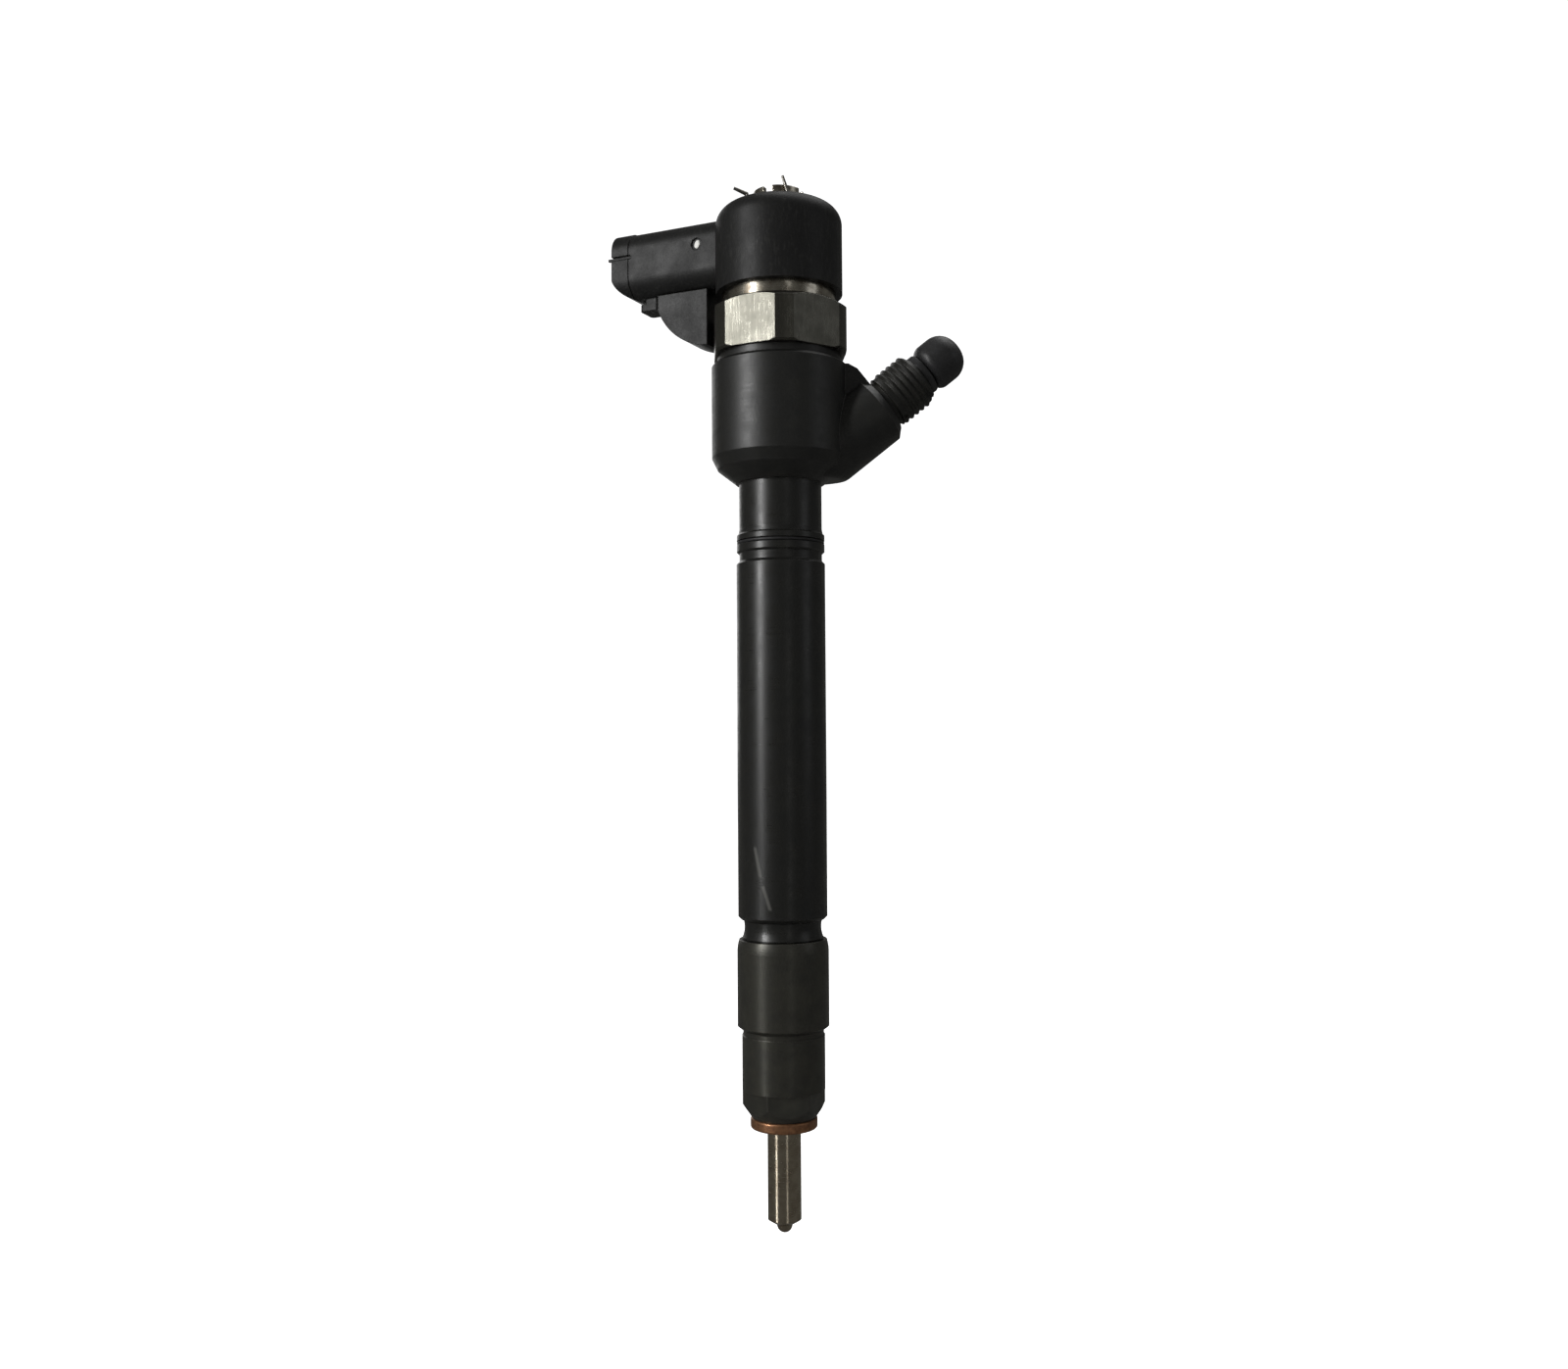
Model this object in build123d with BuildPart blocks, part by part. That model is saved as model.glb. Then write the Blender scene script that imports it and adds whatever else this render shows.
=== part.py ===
from build123d import *
import math
import os

os.makedirs("parts", exist_ok=True)

# Common-rail diesel fuel injector, in millimetres.
# Origin: centre of the sealing seat, the underside of the copper washer. +Z runs up the injector
# to the solenoid, and the electrical connector points along -X.

# ---------------------------------------------------------------- fits and gaps
loose_gap = 0.1             # radial, pieces dropped into a bore
running_gap = 0.02          # radial, lapped guides
thread_gap = 0.05           # radial, screwed pieces
slide_gap = 0.05            # radial, loose guides
seat_gap = 0.02             # between closing cones and balls
stop_gap = 0.02             # left over at the end of a travel
pocket_gap = 0.02           # radial, dowels and pressed pieces

# ---------------------------------------------------------------- travels
needle_lift = 0.25
armature_lift = 0.06
armature_overtravel = 0.05
residual_air_gap = 0.05     # between the raised armature plate and the magnet core

# ---------------------------------------------------------------- piston, pin, shim and springs
piston_radius = 2.15
piston_bore_gap = 0.35
piston_chamfer = 0.2
piston_bore_radius = piston_radius + piston_bore_gap
nozzle_spring_wire = 0.575
nozzle_spring_inner_gap = 0.15
nozzle_spring_outer_gap = 0.55
nozzle_spring_turns = 8.5
nozzle_spring_radius = piston_radius + nozzle_spring_inner_gap + nozzle_spring_wire
spring_chamber_radius = nozzle_spring_radius + nozzle_spring_wire + nozzle_spring_outer_gap
spring_chamber_length = 23.0
thrust_pin_radius = nozzle_spring_radius + 0.425
thrust_pin_rise = 0.8       # above the nozzle's top
thrust_pin_thickness = 1.5
thrust_stub_radius = piston_radius - 0.25
thrust_stub_length = 1.7
spring_shim_thickness = 1.0
spring_shim_radius = spring_chamber_radius - 0.2
spring_shim_bore = piston_radius + 0.25
drilling_radius = 0.75
drilling_wall = 1.25        # between the spring chamber and the drilling
drilling_offset = spring_chamber_radius + drilling_wall + drilling_radius

# ---------------------------------------------------------------- nozzle and needle
shank_radius = 3.5
shank_length = 18.9
shank_root_radius = shank_radius + 0.25
nose_taper_length = 1.15
sac_tip_radius = 1.65
sac_radius = 0.4
sac_depth = 0.75
sac_rise = 0.06             # of the seat's lower end above the tip's centre
seat_half_angle = 30.0      # degrees
needle_radius = 2.0
needle_stem_radius = 1.45
needle_pin_radius = 1.25
needle_pin_length = 1.1
needle_tip_radius = 0.25
needle_guide_rise = 0.6     # above the pressure chamber
stem_passage_radius = 1.95
pressure_chamber_radius = 3.0
pressure_chamber_length = 2.5
pressure_chamber_taper = 0.5
pressure_chamber_rise = 1.5  # above the nozzle collar's underside
nozzle_collar_radius = 7.1
nozzle_collar_length = 15.0
nozzle_collar_chamfer = 0.4
feed_hole_radius = 0.7
feed_hole_offset = drilling_offset - 0.2
spray_hole_radius = 0.1
spray_hole_count = 6
spray_half_angle = 72.0     # degrees from straight down
dowel_radius = 0.8
dowel_offset = drilling_offset - 0.4
dowel_depth = 2.0
dowel_angles = (145, 250)   # degrees about the axis

# ---------------------------------------------------------------- sealing washer
washer_radius = 7.0
washer_bore_radius = shank_root_radius + 0.05
washer_thickness = 2.2
washer_round = 0.45

# ---------------------------------------------------------------- nozzle nut
nut_web = 4.8
nut_web_hole_radius = shank_root_radius + 0.1
nut_nose_radius = washer_radius - 0.3
nut_nose_chamfer = 2.8      # height of the lead-in
nut_hex_across_flats = 15.1
nut_hex_height = 5.8
nut_recess_gap = 0.15       # radial, round the nozzle collar
nut_recess_radius = nozzle_collar_radius + nut_recess_gap
nut_lower_wall = 1.425
nut_lower_radius = nut_recess_radius + nut_lower_wall
nut_lower_length = 17.0     # from the nut's underside
nut_relief_radius = nut_lower_radius - 0.225
nut_relief_length = 1.0
nut_step_length = 0.9
tail_radius = 7.95
nut_upper_wall = 1.6
nut_upper_radius = tail_radius + thread_gap + nut_upper_wall
nut_lip_drop = 2.3
nut_lip_radius = nut_upper_radius - 0.4
nut_lip_bow = 0.12
nut_top_gap = 0.3
nut_flat_angle = -58.0      # degrees, direction of one wrench flat

# ---------------------------------------------------------------- injector body
tail_length = 17.3
waist_radius = tail_radius + 0.25
waist_hollow = 0.15
waist_flare = 0.35
waist_length = 3.9
stem_radius = 9.375
stem_length = 75.0
stem_chamfer = 0.6
stem_cone = 0.3             # height of the cone beyond each end of the stem
groove_radius = 8.75
groove_length = 1.7
collar_radius = 9.3
collar_length = 4.1
collar_chamfer = 0.35
collar_cone = 1.0           # height of the slope from the collar to the neck
o_ring_groove_radius = collar_radius - 0.9
o_ring_groove_low = 1.75    # above the collar's underside
o_ring_groove_width = 0.9
o_ring_wire_radius = 0.42
neck_radius = 8.75
neck_length = 10.7
head_radius = 14.45
head_root_radius = neck_radius + 0.65
head_cone_height = 5.4
head_shoulder_drop = 2.4    # the steep upper part of the cone
head_shoulder_in = 1.2
head_length = 19.9
head_chamfer = 0.6
band_length = 1.7
spigot_length = 6.8

valve_bore_drop = 3.7       # below the neck's top

# ---------------------------------------------------------------- high-pressure inlet
inlet_azimuth = 25.0        # degrees from +X towards +Y
inlet_elevation = 38.5      # degrees above the horizontal
inlet_root_drop = 0.8       # below the neck's top, on the axis
inlet_thread_radius = 6.0
inlet_thread_length = 7.6
inlet_undercut_radius = inlet_thread_radius - 0.7
inlet_undercut_length = 1.3
inlet_tip_radius = inlet_thread_radius - 1.2
inlet_tip_length = 1.0
inlet_spigot_radius = inlet_thread_radius - 1.0
inlet_spigot_length = 8.0
inlet_mouth_radius = inlet_tip_radius - 1.8
inlet_mouth_depth = 4.5
inlet_cone_depth = 1.0
passage_radius = 1.5
boss_radius = inlet_thread_radius + 1.6
boss_end_radius = inlet_thread_radius + 0.2
boss_length = 28.0
boss_chamfer_length = 1.5
boss_bottom_rise = 0.7      # above the neck's top
boss_round = 2.6
web_width = 9.0
web_drop = 0.6              # of the web's inner end below the head's top
web_outer_drop = 3.1
web_outer_reach = head_radius + 4.45
web_slant = 1.0             # of the web's outer face
filter_radius = passage_radius + 0.45
filter_length = 10.0
filter_flute_depth = 0.4
filter_land = 1.2
filter_seat_rise = 1.0      # above the inner end of the inlet neck

# ---------------------------------------------------------------- dust plug
plug_stem_length = 3.5
plug_neck_radius = inlet_tip_radius - 0.5
plug_neck_length = 1.6
plug_knob_radius = inlet_thread_radius - 0.9
plug_knob_length = 8.7
plug_knob_round = 4.2
plug_knob_small_round = 0.7

# ---------------------------------------------------------------- control valve
valve_sleeve_wall = 1.85
valve_sleeve_radius = piston_radius + valve_sleeve_wall
valve_sleeve_length = 8.5
valve_bore_radius = valve_sleeve_radius + 1.0
valve_flange_radius = valve_bore_radius + 2.95
valve_flange_thickness = 4.0
valve_nose_radius = 3.0
valve_nose_length = 2.0
seal_ring_thickness = 1.5
seal_ring_radius = valve_bore_radius - loose_gap
seal_ring_bore = piston_radius + 0.55
control_chamber_radius = piston_radius - 0.65
control_chamber_height = 0.55
piston_top_drop = 1.5       # below the valve flange's underside
throttle_radius = 0.15
throttle_length = 0.5
outlet_radius = 0.4
outlet_taper_length = 0.3
ball_radius = 0.67
ball_holder_radius = 1.4
ball_holder_height = 1.45
ball_holder_rise = 0.2      # above the centre of the ball
clamping_screw_radius = valve_flange_radius + 1.15
clamping_screw_bore = valve_nose_radius + 1.0
clamping_screw_length = 5.0
key_hole_radius = 0.9
key_hole_offset = (clamping_screw_radius + clamping_screw_bore) / 2
key_hole_count = 4

# ---------------------------------------------------------------- armature
armature_chamber_radius = clamping_screw_radius + 0.8
armature_guide_radius = armature_chamber_radius - loose_gap
armature_guide_thickness = 4.0
armature_pin_radius = 1.5
armature_pin_top = 1.6      # above the top of the retainer's groove
armature_hub_radius = armature_pin_radius + 0.8
armature_hub_height = 2.0
retainer_groove_radius = armature_pin_radius - 0.3
retainer_radius = armature_pin_radius + 0.85
retainer_thickness = 0.7
retainer_gap_width = 1.9
armature_plate_radius = 8.5
armature_plate_thickness = 2.0
armature_slot_count = 3
armature_slot_radius = 0.9
armature_slot_offset = 5.5
armature_spring_wire = 0.25
armature_spring_radius = armature_hub_radius + 0.4 + armature_spring_wire
armature_spring_turns = 4.5
solenoid_spring_wire = 0.3
solenoid_spring_radius = armature_pin_radius + 0.15 + solenoid_spring_wire
solenoid_spring_turns = 8.5
spring_seat_thickness = 1.0
spring_seat_bore = 0.9

# ---------------------------------------------------------------- magnet group
core_depth = 6.5            # of the core's face below the spigot's top
core_length = 13.0
core_bore_radius = retainer_radius + 0.25
core_bore_web = 1.6
core_vent_radius = 1.2
coil_slot_inner = core_bore_radius + 2.4
coil_slot_width = 3.5
coil_slot_outer = coil_slot_inner + coil_slot_width
coil_slot_depth = 8.0
core_radius = coil_slot_outer + 2.0
bobbin_wall = 0.5
lead_hole_radius = 0.8
lead_offset = (coil_slot_inner + coil_slot_outer) / 2
lead_side = 2.8
lead_width = 0.8
magnet_bore_radius = core_radius + 0.2
lift_shim_thickness = 1.5
lift_shim_bore = armature_chamber_radius + loose_gap
lift_shim_radius = magnet_bore_radius - loose_gap
head_seal_wire_radius = 0.85
head_seal_groove_radius = core_radius - 2 * head_seal_wire_radius
head_seal_groove_width = 1.9
head_seal_rise = 1.3        # above the coil slot's floor
sleeve_wall = 1.4
sleeve_bore_radius = core_radius + loose_gap
sleeve_radius = sleeve_bore_radius + sleeve_wall
sleeve_flange_radius = sleeve_radius + 0.75
sleeve_flange_thickness = 2.0
ring_show = 3.0             # bright band between the nut and the cap
spigot_radius = sleeve_flange_radius + 0.05
band_radius = spigot_radius + 0.4

# ---------------------------------------------------------------- solenoid nut
solenoid_nut_bore_radius = spigot_radius + thread_gap
solenoid_nut_wall = 0.9     # at the middle of a wrench flat
solenoid_nut_across_flats = 2 * (solenoid_nut_bore_radius + solenoid_nut_wall)
solenoid_nut_radius = solenoid_nut_across_flats / 2 + 1.15
solenoid_nut_lip = 1.7
solenoid_nut_lip_bore = sleeve_radius + loose_gap
solenoid_nut_low_chamfer = 0.5
solenoid_nut_top_chamfer = 1.0  # its height
solenoid_nut_top_taper = 1.5    # its width
solenoid_flat_angle = -91.0  # degrees, direction of one wrench flat

# ---------------------------------------------------------------- solenoid cap and connector
cap_wall = 1.5
cap_radius = sleeve_radius + cap_wall
cap_height = 18.8
cap_edge_round = 4.2
cap_plug_radius = sleeve_bore_radius - slide_gap
cap_slot_gap = 0.02
connector_reach = 37.8
connector_width = 12.4
connector_height = 14.8
connector_round = 4.5
connector_rise = 2.6        # of the connector's underside above the cap's
connector_axis_rise = connector_rise + connector_height / 2
connector_collar_length = 4.2
connector_collar_lift = 0.15
socket_side_wall = 1.1
socket_width = connector_width - 2 * socket_side_wall
socket_height = connector_height - 3.6
socket_round = connector_round - 1.5
socket_depth = 14.0
mouth_cut_length = 6.7
mouth_cut_height = 4.0
mouth_cut_bow = 0.3         # share of the cut's length and height at the middle of its curve
cut_margin = 1.0            # past a face, so that a cut goes right through
code_slot_width = 0.9
code_slot_length = 4.5
code_slot_rise = 1.4        # above the connector's axis
code_slot_bite = 0.4        # into the socket
code_rib_stand_out = 1.0
code_rib_length = 7.0
code_rib_thickness = 0.6
code_rib_height = 0.6 * code_slot_width
latch_near = connector_reach - 9.8
latch_far = connector_reach - 5.1
latch_width = 5.4
latch_drop = 2.5
latch_round = 0.8
gusset_thickness = 8.0
gusset_gap = 0.4            # between the gusset and the solenoid nut
gusset_inner = solenoid_nut_radius + gusset_gap
gusset_reach = latch_near - 0.6
gusset_drop = 9.5           # below the cap's underside
gusset_toe = 1.2
gusset_heel = 0.6
gusset_bow_angle = 42.0     # degrees, of the middle of its curved edge
dimple_distance = cap_radius + 3.1
dimple_rise = 1.8
dimple_radius = 1.3
dimple_depth = 0.35
blade_width = 2.4
blade_thickness = 0.8
blade_inner = 1.6
blade_tip_setback = 2.7
blade_root = lead_offset - lead_width / 2
blade_sleeve_gap = 1.5      # between the blades and the sleeve below them
sleeve_inset = connector_axis_rise - blade_thickness / 2 - blade_sleeve_gap

# ---------------------------------------------------------------- return port and its clip
port_bore_radius = 4.0
port_wall = 1.35
port_radius = port_bore_radius + port_wall
port_floor_gap = 0.7        # above the contact blades
port_stand_out = 3.2
port_notch_width = 2.0
port_notch_depth = 2.0
port_notch_count = 4
channel_radius = 2.0
clip_wire_radius = 0.45
clip_radius = port_radius + clip_wire_radius + 0.35
clip_start_angle = -44.0    # degrees
clip_sweep_angle = 249.0
clip_tail_elbow_reach = clip_radius + 0.7
clip_tail_elbow_rise = 2.8
clip_tail_reach = clip_radius + 3.4
clip_tail_rise = 3.9
clip_tail_angle = 208.0
clip_finger_rise = 4.3
clip_finger_angle = -57.0
clip_taper = 2.0            # degrees
clip_elbow_radius = clip_wire_radius + 0.02

# ---------------------------------------------------------------- heights that follow
nut_low = washer_thickness
nut_web_top = nut_low + nut_web
nozzle_top = nut_web_top + nozzle_collar_length
tail_top = nozzle_top + tail_length
nut_top = tail_top - nut_top_gap
stem_low = tail_top + waist_length
stem_top = stem_low + stem_length
collar_low = stem_top + groove_length
collar_top = collar_low + collar_length
neck_top = collar_top + neck_length
head_low = neck_top + head_cone_height
head_top = head_low + head_length
nut_seat = head_top + band_length
spigot_top = nut_seat + spigot_length

spring_chamber_top = nozzle_top + spring_chamber_length
spring_shim_low = spring_chamber_top - spring_shim_thickness
thrust_pin_low = nozzle_top + thrust_pin_rise
thrust_pin_top = thrust_pin_low + thrust_pin_thickness
piston_low = thrust_pin_top + thrust_stub_length
chamber_low = nut_web_top + pressure_chamber_rise
chamber_top = chamber_low + pressure_chamber_length

valve_bore_low = neck_top - valve_bore_drop
valve_sleeve_low = valve_bore_low + seal_ring_thickness
valve_flange_low = valve_sleeve_low + valve_sleeve_length
valve_flange_top = valve_flange_low + valve_flange_thickness
valve_nose_top = valve_flange_top + valve_nose_length
piston_top = valve_flange_low - piston_top_drop
piston_stop = piston_top + needle_lift + stop_gap
control_chamber_top = piston_stop + control_chamber_height
clamping_screw_top = valve_flange_top + clamping_screw_length
guide_top = clamping_screw_top + armature_guide_thickness
hub_top = guide_top + armature_hub_height

core_low = spigot_top - core_depth
core_top = core_low + core_length
lift_shim_low = core_low - lift_shim_thickness
plate_top = core_low - armature_lift - residual_air_gap
plate_low = plate_top - armature_plate_thickness
retainer_top = plate_top + retainer_thickness
slot_floor = core_low + coil_slot_depth
spring_seat_top = core_top - core_bore_web
spring_seat_low = spring_seat_top - spring_seat_thickness

ball_height = valve_nose_top + math.sqrt(ball_radius**2 - outlet_radius**2) + seat_gap
ball_holder_low = ball_height + ball_holder_rise
ball_holder_top = ball_holder_low + ball_holder_height

sleeve_flange_top = spigot_top + sleeve_flange_thickness
solenoid_nut_top = sleeve_flange_top + solenoid_nut_lip
cap_low = solenoid_nut_top + ring_show
cap_top = cap_low + cap_height
sleeve_top = cap_low + sleeve_inset
connector_axis = cap_low + connector_axis_rise
port_low = connector_axis + blade_thickness / 2 + port_floor_gap
port_depth = cap_top - port_low
port_top = cap_top + port_stand_out

# Directions of the slanted inlet: along it, and level across it.
inlet_root = Vector(0, 0, neck_top - inlet_root_drop)
inlet_direction = Vector(
    math.cos(math.radians(inlet_elevation)) * math.cos(math.radians(inlet_azimuth)),
    math.cos(math.radians(inlet_elevation)) * math.sin(math.radians(inlet_azimuth)),
    math.sin(math.radians(inlet_elevation)),
)
inlet_across = Vector(
    -math.sin(math.radians(inlet_azimuth)),
    math.cos(math.radians(inlet_azimuth)),
    0,
)
inlet_line = Axis(inlet_root, inlet_direction)
inlet_section = Plane(inlet_root, x_dir=inlet_across, z_dir=inlet_across.cross(inlet_direction))
inlet_upright = Plane.XZ.rotated((0, 0, inlet_azimuth))

inlet_end = boss_length + inlet_undercut_length + inlet_thread_length + inlet_tip_length
socket_floor = boss_length - inlet_spigot_length


def polar(radius, degrees, height=0.0):
    """Point at a radius and an angle about the injector's axis."""
    angle = math.radians(degrees)
    return Vector(radius * math.cos(angle), radius * math.sin(angle), height)


# ================================================================ nozzle end
with BuildPart() as sealing_washer:
    with BuildSketch(Plane.XZ):
        Polygon(
            (washer_bore_radius, 0),
            (washer_radius, 0),
            (washer_radius, washer_thickness),
            (washer_bore_radius, washer_thickness),
        )
    revolve(axis=Axis.Z)
    rim_edges = sealing_washer.edges().filter_by(GeomType.CIRCLE).sort_by(SortBy.RADIUS)[-2:]
    fillet(rim_edges, washer_round)
sealing_washer.part.label = "sealing_washer"
export_step(sealing_washer.part, "parts/sealing_washer.step")

seat_slope = math.tan(math.radians(seat_half_angle))
nose_low = -shank_length - nose_taper_length
seat_low = nose_low + sac_rise
seat_top = seat_low + (stem_passage_radius - sac_radius) / seat_slope

with BuildPart() as nozzle_body:
    with BuildSketch(Plane.XZ):
        with BuildLine():
            Polyline(
                (0, nose_low - sac_tip_radius),
                (0, nozzle_top),
                (nozzle_collar_radius, nozzle_top),
                (nozzle_collar_radius, nut_web_top + nozzle_collar_chamfer),
                (nozzle_collar_radius - nozzle_collar_chamfer, nut_web_top),
                (shank_root_radius, nut_web_top),
                (shank_root_radius, 0),
                (shank_radius, 0),
                (shank_radius, -shank_length),
                (sac_tip_radius, nose_low),
            )
            CenterArc((0, nose_low), sac_tip_radius, -90, 90)
        make_face()
    revolve(axis=Axis.Z)
    with BuildSketch(Plane.XZ):
        Polygon(
            (0, seat_low - sac_depth),
            (sac_radius, seat_low - sac_depth),
            (sac_radius, seat_low),
            (stem_passage_radius, seat_top),
            (stem_passage_radius, chamber_low),
            (pressure_chamber_radius, chamber_low + pressure_chamber_taper),
            (pressure_chamber_radius, chamber_top - pressure_chamber_taper),
            (needle_radius + running_gap, chamber_top),
            (needle_radius + running_gap, nozzle_top),
            (0, nozzle_top),
        )
    revolve(axis=Axis.Z, mode=Mode.SUBTRACT)
    feed_mouth = polar(feed_hole_offset, inlet_azimuth, nozzle_top)
    feed_foot = polar(pressure_chamber_radius - feed_hole_radius, inlet_azimuth,
                      chamber_low + pressure_chamber_length / 2)
    with BuildSketch(Plane(feed_mouth, z_dir=feed_foot - feed_mouth)):
        Circle(feed_hole_radius)
    extrude(amount=(feed_foot - feed_mouth).length, both=True, mode=Mode.SUBTRACT)
    for dowel_angle in dowel_angles:
        with BuildSketch(Plane.XY.offset(nozzle_top)):
            with Locations(polar(dowel_offset, dowel_angle)):
                Circle(dowel_radius + pocket_gap)
        extrude(amount=-dowel_depth, mode=Mode.SUBTRACT)
    for spray_number in range(spray_hole_count):
        spray_angle = 360 * spray_number / spray_hole_count
        spray_direction = Vector(0, 0, -1).rotate(Axis.Y, -spray_half_angle)
        spray_direction = spray_direction.rotate(Axis.Z, spray_angle)
        with BuildSketch(Plane((0, 0, seat_low - sac_depth / 2), z_dir=spray_direction)):
            Circle(spray_hole_radius)
        extrude(amount=2 * sac_tip_radius, mode=Mode.SUBTRACT)
nozzle_body.part.label = "nozzle_body"
export_step(nozzle_body.part, "parts/nozzle_body.step")

needle_drop = seat_gap / math.sin(math.radians(seat_half_angle))
needle_cone_top = seat_low + needle_drop + (needle_stem_radius - sac_radius) / seat_slope
needle_guide_low = chamber_top + needle_guide_rise
needle_guide_top = thrust_pin_low - needle_pin_length
needle_tip_height = seat_low + needle_drop - (sac_radius - needle_tip_radius) / seat_slope

with BuildPart() as nozzle_needle:
    with BuildSketch(Plane.XZ):
        Polygon(
            (0, needle_tip_height),
            (needle_tip_radius, needle_tip_height),
            (needle_stem_radius, needle_cone_top),
            (needle_stem_radius, chamber_low + pressure_chamber_taper),
            (needle_radius, needle_guide_low),
            (needle_radius, needle_guide_top),
            (needle_pin_radius, needle_guide_top),
            (needle_pin_radius, thrust_pin_low),
            (0, thrust_pin_low),
        )
    revolve(axis=Axis.Z)
nozzle_needle.part.label = "nozzle_needle"
export_step(nozzle_needle.part, "parts/nozzle_needle.step")

with BuildPart() as nozzle_dowels:
    for dowel_angle in dowel_angles:
        with BuildSketch(Plane.XY.offset(nozzle_top - dowel_depth)):
            with Locations(polar(dowel_offset, dowel_angle)):
                Circle(dowel_radius)
        extrude(amount=2 * dowel_depth)
nozzle_dowels.part.label = "nozzle_dowels"
export_step(nozzle_dowels.part, "parts/nozzle_dowels.step")

nut_hex_top = nut_low + nut_hex_height
nut_lower_top = nut_low + nut_lower_length
nut_relief_top = nut_lower_top + nut_relief_length
nut_upper_low = nut_relief_top + nut_step_length
nut_lip_low = nut_top - nut_lip_drop

with BuildPart() as nozzle_nut:
    with BuildSketch(Plane.XZ):
        with BuildLine():
            Polyline(
                (nut_lip_radius, nut_top),
                (tail_radius + thread_gap, nut_top),
                (tail_radius + thread_gap, nozzle_top),
                (nut_recess_radius, nozzle_top),
                (nut_recess_radius, nut_web_top),
                (nut_web_hole_radius, nut_web_top),
                (nut_web_hole_radius, nut_low),
                (nut_nose_radius, nut_low),
                (nut_lower_radius, nut_low + nut_nose_chamfer),
                (nut_lower_radius, nut_lower_top),
                (nut_relief_radius, nut_lower_top),
                (nut_relief_radius, nut_relief_top),
                (nut_upper_radius, nut_upper_low),
                (nut_upper_radius, nut_lip_low),
            )
            ThreePointArc(
                (nut_upper_radius, nut_lip_low),
                (nut_upper_radius - nut_lip_bow, nut_top - nut_lip_drop / 2),
                (nut_lip_radius, nut_top),
            )
        make_face()
    revolve(axis=Axis.Z)
    with BuildSketch(Plane.XY.offset(nut_low)):
        Circle(nut_upper_radius)
        RegularPolygon(nut_hex_across_flats / 2, 6, major_radius=False,
                       rotation=nut_flat_angle + 30, mode=Mode.SUBTRACT)
    extrude(amount=nut_hex_height, mode=Mode.SUBTRACT)
nozzle_nut.part.label = "nozzle_nut"
export_step(nozzle_nut.part, "parts/nozzle_nut.step")

# ================================================================ needle drive
with BuildPart() as thrust_pin:
    with BuildSketch(Plane.XZ):
        Polygon(
            (0, thrust_pin_low),
            (thrust_pin_radius, thrust_pin_low),
            (thrust_pin_radius, thrust_pin_top),
            (thrust_stub_radius, thrust_pin_top),
            (thrust_stub_radius, piston_low),
            (0, piston_low),
        )
    revolve(axis=Axis.Z)
thrust_pin.part.label = "thrust_pin"
export_step(thrust_pin.part, "parts/thrust_pin.step")

with BuildPart() as control_piston:
    with BuildSketch(Plane.XY.offset(piston_low)):
        Circle(piston_radius)
    extrude(amount=piston_top - piston_low)
    chamfer(control_piston.edges().group_by(Axis.Z)[0], piston_chamfer)
control_piston.part.label = "control_piston"
export_step(control_piston.part, "parts/control_piston.step")

with BuildPart() as spring_shim:
    with BuildSketch(Plane.XY.offset(spring_shim_low)):
        Circle(spring_shim_radius)
        Circle(spring_shim_bore, mode=Mode.SUBTRACT)
    extrude(amount=spring_shim_thickness)
spring_shim.part.label = "spring_shim"
export_step(spring_shim.part, "parts/spring_shim.step")

# Three coil springs with ground ends: mean radius, wire radius, low end, high end, turns.
springs = {
    "nozzle_spring": (nozzle_spring_radius, nozzle_spring_wire, thrust_pin_top,
                      spring_shim_low, nozzle_spring_turns),
    "armature_spring": (armature_spring_radius, armature_spring_wire, guide_top,
                        plate_low, armature_spring_turns),
    "solenoid_spring": (solenoid_spring_radius, solenoid_spring_wire, retainer_top,
                        spring_seat_low, solenoid_spring_turns),
}
for spring_name, (coil_radius, wire_radius, spring_low, spring_high, turns) in springs.items():
    spring_height = spring_high - spring_low
    with BuildPart() as coil_spring:
        with BuildLine() as wire_path:
            Helix(spring_height / turns, spring_height, coil_radius, center=(0, 0, spring_low))
        with BuildSketch(Plane(wire_path.line @ 0, z_dir=wire_path.line % 0)):
            Circle(wire_radius)
        sweep(is_frenet=True)
        split(bisect_by=Plane.XY.offset(spring_low), keep=Keep.TOP)
        split(bisect_by=Plane.XY.offset(spring_high), keep=Keep.BOTTOM)
    coil_spring.part.label = spring_name
    export_step(coil_spring.part, f"parts/{spring_name}.step")

# ================================================================ injector body
boss_bottom = neck_top + boss_bottom_rise

with BuildPart() as inlet_boss:
    with BuildSketch(inlet_section):
        Polygon(
            (0, 0),
            (boss_radius, 0),
            (boss_radius, boss_length - boss_chamfer_length),
            (boss_end_radius, boss_length),
            (0, boss_length),
        )
    revolve(axis=inlet_line)
    with BuildSketch(inlet_upright):
        Polygon(
            (0, head_low),
            (0, head_top - web_drop),
            (head_radius, head_top - web_drop),
            (web_outer_reach, head_top - web_outer_drop),
            (web_outer_reach + web_slant, head_top - head_length / 2),
            (head_radius, head_low),
        )
    extrude(amount=web_width / 2, both=True)
    split(bisect_by=Plane(inlet_root + inlet_direction * boss_length, z_dir=inlet_direction),
          keep=Keep.BOTTOM)
    split(bisect_by=Plane.XY.offset(boss_bottom), keep=Keep.TOP)
    fillet(inlet_boss.faces().sort_by(Axis.Z)[0].edges(), boss_round)

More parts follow.
